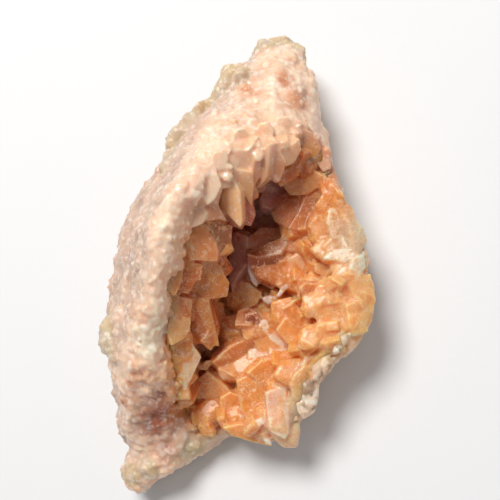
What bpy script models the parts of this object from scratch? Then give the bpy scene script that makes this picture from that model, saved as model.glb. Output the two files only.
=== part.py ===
"""Celestite specimen: a broken piece of a geode, lying on its outer wall with its hollow open.

The wall is a loft through guide lines that run along the piece. Small lumps of matrix are grown
onto it, and its underside is broken off flat. The hollow is lined with one crust of crystals.
Sizes are millimetres, +Y runs along the piece, and +Z is up.
"""

import math
import random

import bmesh
import bpy
from mathutils import Matrix, Vector, noise

MM = 0.001

# Driving dimensions of the wall
FOOT_END = -33.2
TIP_END = 33.8
STATION_STEP = 0.7
END_BULGE = 0.8
WALL_VOXEL = 0.75
WALL_TRIANGLES = 3600
CUTTER_TRIANGLES = 1500
LUMP_RELIEF = 0.8
LUMP_SPACING = 6.5
LUMP_ROUGHNESS = 0.9
GRAIN_RELIEF = 0.4
GRAIN_SPACING = 2.6
BASE_CUTTER = 200

# How the section stands off from its guide lines, as (x, z), where the piece is at its full width
RIM_SIDE = (0.6, -2.6)
UNDER_RIGHT = (1.4, -1.2)
UNDER_LEFT = (-1.6, -1.0)
FLANK = (-1.2, 0.8)
UNDER_LIP = (0.3, 0.4)
HOLLOW_SAG = 1.9
TIP_SAG = 0.5
FULL_WIDTH = 30
LEAST_OFFSET = 0.3

# Driving dimensions of the crystal crust
CLEARANCE = 0.5
LINING = 1.2
LINING_EDGE = 0.6
ROOTS = 0.9
HOLLOW_START = -20.6
HOLLOW_END = 15.4
HOLLOW_STEP = 2.4
FIRST_LINED = 35
LAST_LINED = 53
LINED_STEP = 1.5
FILL_CRYSTALS = 66
FILL_SPACING = 2.9
FILL_TRIES = 8000
FILL_WIDTH = (2.6, 4.4)
FILL_HEIGHT = (0.6, 2.2)
FILL_ROOT = 1.4
FILL_FLATNESS = (0.45, 0.8)
FRINGE_SPACING = 1.4
FRINGE_JITTER = 0.4
FRINGE_WIDTH = (1.3, 2.2)
FRINGE_HEIGHT = (0.8, 2.0)
FRINGE_ROOT = 1.6
FRINGE_FLATNESS = (0.5, 0.8)
BLUNTING = 0.16
PRISM_ANGLE = 38
CHISEL_ANGLE = 52
FLAT_ANGLE = 0.3
SEED = 7

# Guide lines of the wall, each a list of (y, x, z) from the foot of the piece to its tip
BULGE = [
    (-34.2, -8, 4.4), (-33, -8.8, 4.6), (-31, -9, 5), (-28.4, -8.8, 5.4), (-26.4, -11, 6),
    (-24.5, -12.2, 6.2), (-22.5, -12.5, 6.6), (-20, -13.8, 7), (-16.4, -16.1, 8), (-13.7, -16.9, 8.6),
    (-9.2, -17, 9), (-6.5, -18.1, 9.4), (-2.8, -18.6, 9.8), (4.3, -18, 10.4), (6.9, -16.8, 10.6),
    (9.6, -15, 11), (11.5, -14.5, 11.2), (14, -13.9, 11.4), (16, -13.2, 11.4), (19.7, -11.4, 11.4),
    (23, -9.6, 11.2), (27, -8.6, 10.8), (31, -8.6, 10), (34.2, -8.8, 8.8),
]
CREST_OUTER = [
    (-34.2, -8, 5.8), (-29.8, -7.3, 7.6), (-25.8, -7.9, 10.6), (-22, -8.3, 14.5), (-18.7, -7.9, 17.6),
    (-14.8, -7.6, 20.2), (-11.4, -7.5, 22), (-8.3, -7.5, 23.4), (-4.5, -7.9, 25), (-0.5, -8.1, 26),
    (4.3, -7.9, 25.6), (10.3, -7.2, 24), (16.2, -6.8, 21), (21.6, -6, 18), (28.3, -6, 14),
    (31.5, -7, 11.6), (34.2, -8, 9.8),
]
CREST_INNER = [
    (-34.2, -6.8, 6), (-29.6, -4.9, 8), (-24.9, -5.3, 10.2), (-21, -5.4, 14), (-17.6, -4.6, 18),
    (-13.7, -4.5, 21.3), (-10.6, -4.7, 23.6), (-5.9, -4.9, 25.6), (-1.6, -5.3, 26.9), (2.1, -4.8, 27.2),
    (7, -3.5, 26.6), (11.1, -2.2, 24.6), (15, -1.6, 21.6), (20.2, -2, 18.6), (27.5, -3, 15),
    (31, -4.4, 12), (34.2, -6.4, 10),
]
LIP = [
    (-34.2, -6, 5.8), (-29.6, -3.4, 7.2), (-25, -3.6, 8.8), (-21.5, -3.4, 11), (-18, -2.4, 14),
    (-15, -3.8, 16.6), (-12, -4.6, 18.4), (-8, -5.1, 20), (-3.6, -5.3, 21.4), (1, -4.8, 22),
    (6, -3.2, 21.6), (9, -1, 21), (11.5, 0, 20.4), (13, 2, 19.6), (14.5, 4, 18.6), (16.5, 3.8, 17.8),
    (19.1, 2.2, 17.2), (22, 1, 16), (27, -0.4, 14), (31, -2.8, 11.6), (34.2, -5.4, 9.6),
]
WALL = [
    (-34.2, -5.8, 5.4), (-29.6, -2.8, 6.8), (-25, -2.4, 7.6), (-21.5, -3.4, 9), (-18, -4, 10.4),
    (-14, -5.4, 12), (-8, -7, 13), (0, -7.8, 13), (6, -7.2, 13), (11, -5, 13), (14, -1, 13.5),
    (16, 3.4, 14.6), (17.5, 5, 15.6), (19, 4.6, 15.4), (22, 3.2, 14.6), (27, 1, 13), (31, -2, 11.2),
    (34.2, -5.2, 9.3),
]
DEEP = [
    (-34.2, -5.6, 5), (-29.6, -2.2, 6.4), (-26, -1.2, 6.6), (-23, -1, 6.4), (-20.5, -1.6, 6),
    (-17, -2, 5.6), (-12, -2.6, 5.2), (-6, -3.4, 4.8), (0, -4.4, 4.3), (6, -4, 4.2), (11, -1.4, 4.6),
    (14, 2, 6), (15.5, 5, 9), (17.3, 6.2, 13.6), (19, 5.7, 14.2), (22, 4.2, 13.6), (27, 1.9, 12.2),
    (31, -1.4, 10.8), (34.2, -5, 9),
]
RIM = [
    (-34.2, -5.8, 4.6), (-33, -5.8, 5), (-29.8, -4.2, 5.4), (-28.4, -2.2, 5.2), (-26, -0.2, 5.6),
    (-24.2, 1.2, 6), (-22.6, 2.4, 6), (-21.6, 6, 6.6), (-20.8, 9.6, 7.4), (-19.4, 11.4, 8.2),
    (-17, 12.2, 9.2), (-12.2, 13.2, 10.2), (-8.2, 14.9, 10.8), (-4.3, 17.1, 11.2), (-2.4, 17.5, 11.2),
    (0, 17.2, 11.2), (3, 16, 11.5), (7.5, 14.2, 12.2), (9.3, 12.9, 12.6), (12, 9.8, 13),
    (15, 7.8, 13.2), (19.5, 5.4, 12.8), (25, 2.2, 11.4), (30.5, -0.6, 10), (32.5, -2.2, 9.4),
    (34.2, -4.8, 8.6),
]
FOOT_LEFT = [
    (-34.2, -7.6, 2.2), (-31, -8, 0), (-26, -9, -0.6), (-15, -11.5, -0.9), (0, -12.5, -0.9),
    (10, -10.5, -0.9), (20, -8, -0.6), (28, -7.5, 1.5), (34.2, -8, 6.8),
]
FOOT_RIGHT = [
    (-34.2, -6.4, 2.2), (-31, -6, 0), (-26, -2.8, -0.6), (-20, 4, -0.8), (-10, 9, -0.9), (2, 9.5, -0.9),
    (12, 5.2, -0.8), (22, -1.3, -0.4), (30, -5.2, 3), (34.2, -6.2, 6.8),
]

# Lumps of matrix grown onto the wall: centre x, y, z and radius
LUMPS = [
    (-7.8, 29.8, 10.6, 1.4), (-9.0, 27.2, 10.8, 1.8), (-10.9, 24.8, 11.2, 1.7), (-11.8, 22.4, 10.6, 1.6),
    (-13.6, 20.0, 10.8, 1.6), (-14.4, 17.8, 11.2, 1.4), (-15.8, 14.6, 10.0, 1.7), (-15.4, 12.0, 10.0, 1.7),
    (-16.4, -14.2, 8.8, 1.7), (-16.2, -16.6, 8.2, 1.5), (-7.2, -30.6, 4.4, 2.5), (-4.6, -28.2, 4.4, 2.2),
    (-1.6, -25.6, 4.4, 2.0),
]

# Crystals that stand out in the crust: root and tip (x, y, z), width, thickness, end, and where the
# broad face looks
CRYSTALS = [
    # Blades that hang from the lip
    ((-3.0, 8.6, 22.0), (-0.6, 3.9, 15.5), 2.6, 1.6, "point", (0.7, -0.3, 0.6)),
    ((-1.4, 9.4, 21.5), (0.4, 4.7, 15.5), 2.3, 1.5, "point", (0.7, -0.5, 0.5)),
    ((-1.8, 10.8, 22.0), (0.2, 7.4, 17.5), 2.6, 1.6, "chisel", (0.4, -0.6, 0.8)),
    ((0.6, 14.2, 17.8), (0.0, 9.8, 15.5), 3.2, 1.6, "point", (0.3, -0.6, 0.7)),
    ((3.2, 15.0, 16.4), (2.6, 10.8, 15.0), 3.6, 1.8, "point", (0.3, -0.7, 0.7)),
    ((5.2, 16.4, 14.2), (4.0, 13.0, 14.2), 2.4, 1.4, "chisel", (0.1, -0.8, 0.7)),
    ((-0.6, 12.0, 22.0), (0.1, 10.4, 18.0), 2.0, 1.2, "point", (0.6, -0.5, 0.6)),
    ((-4.2, 5.6, 22.0), (-3.2, 3.0, 17.5), 1.8, 1.2, "point", (0.8, 0.2, 0.5)),
    ((-3.8, 7.2, 22.0), (-2.6, 5.2, 18.0), 2.0, 1.3, "chisel", (0.8, -0.2, 0.5)),
    ((-4.6, 3.4, 21.5), (-3.6, 0.8, 17.0), 1.9, 1.2, "point", (0.8, 0.2, 0.4)),
    ((-5.2, 0.0, 21.0), (-4.0, -2.4, 17.0), 2.0, 1.3, "point", (0.8, 0.3, 0.4)),
    # The back of the hollow, under the peak
    ((5.6, 17.0, 13.5), (2.8, 11.4, 9.5), 3.4, 2.6, "blunt", (0.1, -0.4, 0.9)),
    ((8.2, 13.2, 11.0), (0.6, 8.4, 9.0), 3.2, 2.6, "point", (-0.3, 0.4, 0.8)),
    ((7.8, 9.4, 10.0), (2.8, 6.2, 9.6), 3.8, 2.2, "chisel", (-0.2, 0.2, 0.9)),
    ((3.4, 14.6, 8.0), (0.4, 12.0, 8.6), 3.0, 2.0, "point", (0.1, -0.6, 0.7)),
    # The wall under the crest
    ((-4.6, 4.4, 20.6), (-1.2, -0.8, 16.6), 3.6, 1.6, "blunt", (0.6, 0.0, 0.8)),
    ((-5.4, 0.6, 18.5), (-1.4, -3.6, 14.0), 4.8, 2.2, "blunt", (0.6, 0.1, 0.8)),
    ((-7.0, -4.6, 15.5), (-2.2, -4.0, 9.0), 4.6, 2.4, "blunt", (0.7, 0.2, 0.7)),
    ((-4.6, -4.6, 16.6), (-0.8, -11.6, 11.6), 3.6, 2.4, "square", (0.6, 0.2, 0.8)),
    ((-5.4, -10.0, 15.8), (-2.4, -12.6, 12.6), 3.4, 1.8, "chisel", (0.6, 0.0, 0.8)),
    ((-6.0, -8.0, 18.5), (-4.2, -10.0, 14.5), 2.4, 1.6, "point", (0.8, 0.2, 0.5)),
    ((-5.8, -12.0, 16.5), (-4.6, -13.6, 12.5), 2.2, 1.5, "chisel", (0.8, 0.1, 0.5)),
    ((-2.9, -18.6, 8.5), (-3.0, -12.2, 12.5), 2.6, 1.2, "point", (0.6, -0.2, 0.8)),
    ((-4.6, -14.4, 12.5), (-3.2, -10.2, 13.5), 1.3, 0.9, "point", (0.6, -0.1, 0.8)),
    ((-4.6, -17.2, 11.5), (-3.6, -13.6, 14.0), 1.6, 1.1, "point", (0.7, -0.2, 0.7)),
    # The valley of the hollow
    ((-1.0, -5.0, 6.0), (-2.3, 4.9, 9.0), 2.8, 2.4, "point", (-0.5, 0.3, 0.8)),
    ((-2.4, -14.9, 8.0), (-0.4, -13.8, 8.6), 1.2, 0.9, "point", (0.0, -0.1, 1.0)),
    ((1.2, -16.6, 6.5), (-1.6, -15.6, 8.2), 2.8, 1.8, "blunt", (-0.1, 0.0, 1.0)),
    ((0.4, -8.4, 6.5), (-1.0, -11.0, 8.0), 2.4, 1.8, "blunt", (-0.2, -0.1, 1.0)),
    # The floor, from the middle to the broken edge
    ((7.6, 1.2, 8.0), (-0.4, 1.6, 10.0), 5.4, 2.4, "square", (-0.3, 0.1, 1.0)),
    ((5.8, -12.2, 8.5), (-0.8, -13.9, 8.8), 4.8, 2.4, "square", (-0.1, 0.2, 1.0)),
    ((9.6, -8.8, 11.0), (4.6, -6.4, 11.3), 0.9, 1.2, "blunt", (0.1, -0.1, 1.0)),
    ((7.4, -10.0, 10.6), (4.0, -11.8, 10.3), 1.1, 1.2, "blunt", (0.0, -0.2, 1.0)),
    ((9.6, -9.2, 11.3), (7.0, -10.2, 11.2), 0.7, 0.9, "blunt", (0.1, -0.2, 1.0)),
    ((6.8, -6.0, 8.0), (2.2, -8.4, 10.4), 3.6, 2.2, "chisel", (-0.2, 0.1, 1.0)),
    ((10.2, -6.0, 9.0), (5.2, -3.6, 10.6), 3.8, 2.2, "square", (-0.2, -0.1, 1.0)),
    ((14.8, 3.2, 12.0), (12.8, 0.4, 13.4), 1.1, 1.0, "blunt", (-0.1, 0.0, 1.0)),
    ((15.2, 0.4, 11.0), (9.6, -2.6, 12.0), 3.8, 2.0, "chisel", (-0.1, 0.1, 1.0)),
    ((14.2, 5.8, 11.5), (8.4, 4.0, 12.0), 3.4, 1.8, "point", (-0.2, 0.0, 1.0)),
    ((12.6, 9.4, 12.0), (7.6, 6.6, 11.4), 3.2, 1.8, "chisel", (-0.3, -0.1, 1.0)),
    ((15.4, -5.8, 11.0), (10.4, -7.2, 12.4), 3.0, 1.8, "blunt", (-0.1, 0.1, 1.0)),
    ((12.8, -10.6, 10.0), (8.6, -13.2, 11.2), 3.4, 2.0, "square", (-0.1, 0.0, 1.0)),
    # The blocky end of the floor, over its broken edge
    ((2.4, -17.6, 6.5), (-0.4, -22.0, 7.6), 3.2, 2.6, "blunt", (-0.2, -0.3, 1.0)),
    ((5.2, -16.4, 7.0), (4.2, -22.0, 7.9), 3.0, 2.6, "blunt", (0.0, -0.3, 1.0)),
    ((7.8, -16.2, 8.0), (8.1, -21.8, 8.2), 3.4, 2.8, "blunt", (0.1, -0.3, 1.0)),
    ((9.1, -13.6, 9.5), (11.5, -20.3, 9.7), 2.6, 2.6, "blunt", (0.1, -0.2, 1.0)),
    ((11.6, -18.0, 8.0), (12.0, -21.4, 8.0), 3.6, 2.6, "blunt", (0.2, -0.4, 1.0)),
    ((9.6, -18.2, 9.7), (6.9, -20.4, 9.9), 1.1, 1.2, "blunt", (0.0, -0.3, 1.0)),
]

# How the ends of the crystals are cut: the lean of each end face across the width and the thickness
ENDS = {
    "point": [(CHISEL_ANGLE, 0), (-CHISEL_ANGLE, 0)],
    "square": [(PRISM_ANGLE + 7, 0), (-PRISM_ANGLE - 7, 0)],
    "chisel": [(0, PRISM_ANGLE), (0, -CHISEL_ANGLE)],
    "blunt": [(12, 0), (-PRISM_ANGLE, 0), (0, PRISM_ANGLE)],
}


def guide(points, y):
    """Where a guide line is at y, as (x, z): a smooth curve through its points."""
    last = len(points) - 2
    i = next((k for k in range(last) if y < points[k + 1][0]), last)
    before, start, end, after = (points[min(max(k, 0), last + 1)] for k in (i - 1, i, i + 1, i + 2))
    span = end[0] - start[0]
    t = (y - start[0]) / span
    place = []
    for axis in (1, 2):
        slope_in = (end[axis] - before[axis]) / (end[0] - before[0])
        slope_out = (after[axis] - start[axis]) / (after[0] - start[0])
        place.append(
            (2 * t**3 - 3 * t**2 + 1) * start[axis]
            + (t**3 - 2 * t**2 + t) * span * slope_in
            + (3 * t**2 - 2 * t**3) * end[axis]
            + (t**3 - t**2) * span * slope_out
        )
    return Vector(place)


def closed_curve(knots):
    """Points of a closed smooth curve in the plane through (point, steps to the next point)."""
    count = len(knots)
    curve = []
    for i, (start, steps) in enumerate(knots):
        before, end, after = knots[i - 1][0], knots[(i + 1) % count][0], knots[(i + 2) % count][0]
        for k in range(steps):
            t = k / steps
            curve.append(
                0.5 * ((2 * start) + (end - before) * t + (2 * before - 5 * start + 4 * end - after) * t**2
                       + (3 * start - before - 3 * end + after) * t**3)
            )
    return curve


def section(y):
    """The wall's outline at y, from the rim round the outside, over the crest and through the hollow."""
    bulge, outer, inner, lip = guide(BULGE, y), guide(CREST_OUTER, y), guide(CREST_INNER, y), guide(LIP, y)
    wall, deep, rim = guide(WALL, y), guide(DEEP, y), guide(RIM, y)
    left, right = guide(FOOT_LEFT, y), guide(FOOT_RIGHT, y)
    size = min(1.0, LEAST_OFFSET + (rim.x - bulge.x) / FULL_WIDTH)
    rim_side = rim + Vector(RIM_SIDE) * size
    under_right = right.lerp(rim_side, 0.5) + Vector(UNDER_RIGHT) * size
    under_left = left.lerp(bulge, 0.45) + Vector(UNDER_LEFT) * size
    flank = bulge.lerp(outer, 0.5) + Vector(FLANK) * size
    under_lip = lip.lerp(wall, 0.5) + Vector(UNDER_LIP) * size
    sag = HOLLOW_SAG if y < HOLLOW_END else TIP_SAG
    floor = deep.lerp(rim, 0.55) + Vector((0, -sag)) * size
    return closed_curve([
        (rim, 2), (rim_side, 3), (under_right, 3), (right, 3), (right.lerp(left, 0.5), 3), (left, 3),
        (under_left, 3), (bulge, 4), (flank, 4), (outer, 3), (inner, 3), (lip, 3), (under_lip, 3),
        (wall, 3), (deep, 4), (floor, 5),
    ])


def stations(low, high, step):
    """Places along the piece where a section is taken."""
    count = round((high - low) / step)
    return [low + (high - low) * i / count for i in range(count + 1)]


def relief(place):
    """How far the rock stands out from the smooth loft at a place."""
    lumps = noise.fractal(place / LUMP_SPACING, LUMP_ROUGHNESS, 2, 2)
    grain = 1 - 2 * abs(noise.noise(place / GRAIN_SPACING + Vector((11, 5, 3))))
    return LUMP_RELIEF * lumps + GRAIN_RELIEF * grain


def new_object(name, mesh, collection):
    obj = bpy.data.objects.new(name, mesh)
    collection.objects.link(obj)
    return obj


def mesh_of(shape, name):
    mesh = bpy.data.meshes.new(name)
    shape.to_mesh(mesh)
    shape.free()
    return mesh


def evaluated(obj):
    """A new mesh of an object with its modifiers applied."""
    return bpy.data.meshes.new_from_object(obj.evaluated_get(bpy.context.evaluated_depsgraph_get()))


def bake(obj):
    """Applies an object's modifiers to its mesh."""
    mesh = evaluated(obj)
    obj.modifiers.clear()
    obj.data = mesh


def coarser(obj, triangles):
    """Thins an object's mesh out to a number of triangles."""
    decimate = obj.modifiers.new("coarser", "DECIMATE")
    decimate.ratio = triangles / sum(len(polygon.vertices) - 2 for polygon in obj.data.polygons)
    bake(obj)


def loft(rings, ends):
    """A closed bmesh through rings of equal length, with a point standing out of each end."""
    shape = bmesh.new()
    grid = [[shape.verts.new(point) for point in ring] for ring in rings]
    for near, far in zip(grid, grid[1:]):
        for i in range(len(near)):
            shape.faces.new((near[i - 1], near[i], far[i], far[i - 1]))
    for ring, end, turn in ((grid[0], ends[0], 1), (grid[-1], ends[1], -1)):
        tip = shape.verts.new(end)
        for i in range(len(ring)):
            shape.faces.new((ring[i - 1], tip, ring[i])[::turn])
    bmesh.ops.recalc_face_normals(shape, faces=shape.faces)
    return shape


def wall_loft():
    rings = [[Vector((p.x, y, p.y)) for p in section(y)] for y in stations(FOOT_END, TIP_END, STATION_STEP)]
    ends = []
    for ring, side in ((rings[0], -1), (rings[-1], 1)):
        middle = sum(ring, Vector()) / len(ring)
        ends.append(middle + Vector((0, side * END_BULGE, 0)))
    return loft(rings, ends)


def break_off_flat(obj, cutters):
    """Cuts away what is below the resting plane."""
    cutter = bmesh.new()
    size = BASE_CUTTER * MM
    bmesh.ops.create_cube(cutter, size=size, matrix=Matrix.Translation((0, 0, -size / 2)))
    below = new_object("below_rest", mesh_of(cutter, "below_rest"), cutters)
    cut = obj.modifiers.new("broken_off", "BOOLEAN")
    cut.operation = "DIFFERENCE"
    cut.object = below
    bake(obj)
    bpy.data.objects.remove(below)


def geode_wall(collection, cutters):
    """The stone wall: the loft with its lumps, made one skin, roughened, and broken off flat below."""
    shape = wall_loft()
    for x, y, z, radius in LUMPS:
        place = Matrix.Translation((x, y, z))
        bmesh.ops.create_icosphere(shape, subdivisions=2, radius=radius, matrix=place)
    bmesh.ops.scale(shape, vec=(MM, MM, MM), verts=shape.verts)
    obj = new_object("geode_wall", mesh_of(shape, "geode_wall"), collection)
    remesh = obj.modifiers.new("one_skin", "REMESH")
    remesh.mode = "VOXEL"
    remesh.voxel_size = WALL_VOXEL * MM
    bake(obj)
    obj.data.shade_flat()
    for vert, normal in zip(obj.data.vertices, [v.normal.copy() for v in obj.data.vertices]):
        vert.co += normal * relief(vert.co / MM) * MM
    coarser(obj, WALL_TRIANGLES)
    break_off_flat(obj, cutters)
    return obj


def lined(y, k):
    """The point of the hollow's bare wall at y, k steps round the section."""
    ring = section(y)
    near = int(k)
    point = ring[near % len(ring)].lerp(ring[(near + 1) % len(ring)], k - near)
    return Vector((point.x, y, point.y))


def lining(collection):
    """The thin base of the crust: a sheet over the hollow's wall, thickened towards the hollow."""
    shape = bmesh.new()
    rows = stations(HOLLOW_START, HOLLOW_END, HOLLOW_STEP)
    steps = stations(FIRST_LINED, LAST_LINED, LINED_STEP)
    grid = [[shape.verts.new(lined(y, k)) for k in steps] for y in rows]
    for near, far in zip(grid, grid[1:]):
        for i in range(1, len(near)):
            shape.faces.new((near[i - 1], near[i], far[i], far[i - 1]))
    shape.normal_update()
    inner = [(vert.co.copy(), vert.normal.copy()) for vert in shape.verts]
    edge = [vert.is_boundary for vert in shape.verts]
    bmesh.ops.extrude_face_region(shape, geom=shape.faces[:])
    shape.verts.ensure_lookup_table()
    for i, (co, normal) in enumerate(inner):
        shape.verts[i].co = co - normal * ROOTS
    for vert in shape.verts[len(inner):]:
        i = min(range(len(inner)), key=lambda n: (inner[n][0] - vert.co).length_squared)
        vert.co = vert.co + inner[i][1] * (LINING_EDGE if edge[i] else LINING)
    bmesh.ops.recalc_face_normals(shape, faces=shape.faces)
    bmesh.ops.scale(shape, vec=(MM, MM, MM), verts=shape.verts)
    return new_object("crystal_crust", mesh_of(shape, "crystal_crust"), collection)


def crystal(name, root, tip, width, thickness, end, look, blunting, collection):
    """One crystal: a block cut by its end faces, and its long edges blunted by a share of its thickness."""
    long_axis = (tip - root).normalized()
    across = look.cross(long_axis).normalized()
    through = long_axis.cross(across)
    length = (tip - root).length
    shape = bmesh.new()
    bmesh.ops.create_cube(shape, size=1, matrix=Matrix.Diagonal((width, thickness, 2 * length, 1)))
    cuts = [(Vector(), Vector((0, 0, -1)))]
    for side, face in ((-1, -1), (-1, 1), (1, -1), (1, 1)) if blunting else ():
        lean = Vector((side / width, face / thickness, 0)).normalized()
        corner = Vector((side * width / 2, face * thickness / 2, 0))
        cuts.append((corner - lean * blunting * thickness, lean))
    for across_angle, through_angle in ENDS[end]:
        lean = Vector((math.tan(math.radians(across_angle)), math.tan(math.radians(through_angle)), 1))
        cuts.append((Vector((0, 0, length)), lean.normalized()))
    for place, lean in cuts:
        whole = shape.verts[:] + shape.edges[:] + shape.faces[:]
        cut = bmesh.ops.bisect_plane(
            shape, geom=whole, dist=1e-5, plane_co=place, plane_no=lean, clear_outer=True)
        edges = [item for item in cut["geom_cut"] if isinstance(item, bmesh.types.BMEdge)]
        if edges:
            bmesh.ops.holes_fill(shape, edges=edges)
    turn = Matrix((across, through, long_axis)).transposed().to_4x4()
    bmesh.ops.transform(shape, matrix=Matrix.Translation(root) @ turn, verts=shape.verts)
    bmesh.ops.recalc_face_normals(shape, faces=shape.faces)
    bmesh.ops.scale(shape, vec=(MM, MM, MM), verts=shape.verts)
    return new_object(name, mesh_of(shape, name), collection)


def distance_to_axis(point, root, tip):
    along = tip - root
    t = min(1.0, max(0.0, (point - root).dot(along) / along.length_squared))
    return (root + along * t - point).length


def growing_place(y, k):
    """Where the lining's surface is at y, k steps round the section, and which way it faces."""
    along = lined(y + 0.5, k) - lined(y - 0.5, k)
    around = lined(y, k + 0.5) - lined(y, k - 0.5)
    normal = around.cross(along).normalized()
    return lined(y, k) + normal * LINING, normal


def fringe_crystals(draw, collection):
    """A fringe of small crystals along the lip, pointing down and out of the hollow."""
    for i, y in enumerate(stations(HOLLOW_START + 2, HOLLOW_END - 5, FRINGE_SPACING)):
        jitter = draw.uniform(-FRINGE_JITTER, FRINGE_JITTER)
        place, normal = growing_place(y + jitter, FIRST_LINED + draw.uniform(-0.4, 1.2))
        lean = Vector((draw.uniform(0.0, 0.6), draw.uniform(-0.5, 0.3), draw.uniform(-0.7, -0.1)))
        direction = (normal * 0.6 + lean).normalized()
        width = draw.uniform(*FRINGE_WIDTH)
        look = Vector((0.8, draw.uniform(-0.6, 0.4), draw.uniform(0.1, 0.7)))
        root = place - direction * FRINGE_ROOT
        tip = place + direction * draw.uniform(*FRINGE_HEIGHT)
        thickness = width * draw.uniform(*FRINGE_FLATNESS)
        end = draw.choice(("point", "chisel"))
        crystal(f"fringe_{i:03d}", root, tip, width, thickness, end, look, 0, collection)


def fill_crystals(draw, placed, collection):
    """Smaller crystals on the lining between the ones placed by hand."""
    spots = []
    tries = 0
    while len(spots) < FILL_CRYSTALS and tries < FILL_TRIES:
        tries += 1
        y = draw.uniform(HOLLOW_START + 1.6, HOLLOW_END - 0.8)
        spot, normal = growing_place(y, draw.uniform(FIRST_LINED + 2, LAST_LINED - 2.6))
        crowded = any((spot - other).length < FILL_SPACING for other in spots)
        covered = any(distance_to_axis(spot, root, tip) < 0.35 * width + 0.3 for root, tip, width in placed)
        if crowded or covered:
            continue
        spots.append(spot)
        lean = Vector([draw.uniform(-0.9, 0.9) for _ in range(3)])
        direction = (normal + lean).normalized()
        width = draw.uniform(*FILL_WIDTH)
        look = Vector([draw.uniform(-1, 1) for _ in range(3)])
        root = spot - direction * FILL_ROOT
        tip = spot + direction * draw.uniform(*FILL_HEIGHT)
        thickness = width * draw.uniform(*FILL_FLATNESS)
        end = draw.choice(sorted(ENDS))
        crystal(f"fill_{len(spots):03d}", root, tip, width, thickness, end, look, 0, collection)


def inflated(obj, collection):
    """A plainer copy of a solid grown by the clearance, to cut its neighbour with."""
    copy = new_object(obj.name + "_clearance", obj.data.copy(), collection)
    coarser(copy, CUTTER_TRIANGLES)
    for vert, normal in zip(copy.data.vertices, [v.normal.copy() for v in copy.data.vertices]):
        vert.co += normal * CLEARANCE * MM
    return copy


def keep_largest(obj):
    """Merges the flat faces of an object's mesh, and removes all but its largest connected skin."""
    shape = bmesh.new()
    shape.from_mesh(obj.data)
    angle = math.radians(FLAT_ANGLE)
    bmesh.ops.dissolve_limit(shape, angle_limit=angle, verts=shape.verts, edges=shape.edges)
    left = set(shape.faces)
    skins = []
    while left:
        skin = set()
        front = {left.pop()}
        while front:
            skin |= front
            edges = {edge for face in front for edge in face.edges if edge.is_manifold}
            front = {face for edge in edges for face in edge.link_faces} - skin
        left -= skin
        skins.append(skin)
    skins.sort(key=len)
    bmesh.ops.delete(shape, geom=[face for skin in skins[:-1] for face in skin], context="FACES")
    shape.to_mesh(obj.data)
    shape.free()


def crystal_crust(wall, parts, cutters):
    """The crust: the lining with its crystals joined on, kept a little clear of the wall."""
    growth = bpy.data.collections.new("crust_growth")
    cutters.children.link(growth)
    crust = lining(parts)
    placed = []
    for i, (root, tip, width, thickness, end, look) in enumerate(CRYSTALS):
        root, tip = Vector(root), Vector(tip)
        crystal(f"crystal_{i:02d}", root, tip, width, thickness, end, Vector(look), BLUNTING, growth)
        placed.append((root, tip, width))
    draw = random.Random(SEED)
    fringe_crystals(draw, growth)
    fill_crystals(draw, placed, growth)
    join = crust.modifiers.new("crystals", "BOOLEAN")
    join.operation = "UNION"
    join.operand_type = "COLLECTION"
    join.collection = growth
    join.use_self = True
    trim = crust.modifiers.new("clear_of_wall", "BOOLEAN")
    trim.operation = "DIFFERENCE"
    trim.use_self = True
    trim.object = inflated(wall, cutters)
    bake(crust)
    keep_largest(crust)
    for helper in list(growth.objects) + list(cutters.objects):
        bpy.data.objects.remove(helper)
    return crust


def stand_on_origin(objects):
    """Moves the objects so that the middle of the underside of their box is the origin."""
    corners = [vert.co for obj in objects for vert in obj.data.vertices]
    low = Vector([min(corner[axis] for corner in corners) for axis in range(3)])
    high = Vector([max(corner[axis] for corner in corners) for axis in range(3)])
    middle = (low + high) / 2
    for obj in objects:
        obj.data.transform(Matrix.Translation((-middle.x, -middle.y, -low.z)))


def finish(obj, colour, roughness, transmission):
    """Gives an object a material of its own."""
    material = bpy.data.materials.new(obj.name)
    material.use_nodes = True
    shader = material.node_tree.nodes["Principled BSDF"]
    shader.inputs["Base Color"].default_value = (*colour, 1)
    shader.inputs["Roughness"].default_value = roughness
    shader.inputs["Metallic"].default_value = 0
    shader.inputs["Transmission Weight"].default_value = transmission
    obj.data.materials.clear()
    obj.data.materials.append(material)


def main():
    for obj in list(bpy.data.objects):
        bpy.data.objects.remove(obj)
    parts = bpy.data.collections.new("celestite_specimen")
    cutters = bpy.data.collections.new("cutters")
    bpy.context.scene.collection.children.link(parts)
    bpy.context.scene.collection.children.link(cutters)
    wall = geode_wall(parts, cutters)
    crust = crystal_crust(wall, parts, cutters)
    stand_on_origin([wall, crust])
    finish(wall, (0.85, 0.62, 0.45), 0.8, 0)
    finish(crust, (0.75, 0.28, 0.08), 0.25, 0.3)


main()
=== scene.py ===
"""Looks of the geode specimen: sugary stone, pale druse on its lip, and orange crystals in its hollow.

Shapes are worked out in millimetres and turned into metres when a piece is made. Places that are read
from the picture are pixels of its 500 x 500 frame, and each is carried along its line of sight onto the
solids.
"""

import math

import bmesh
import bpy
import numpy as np
from mathutils import Matrix, Vector, noise
from mathutils.bvhtree import BVHTree


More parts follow.
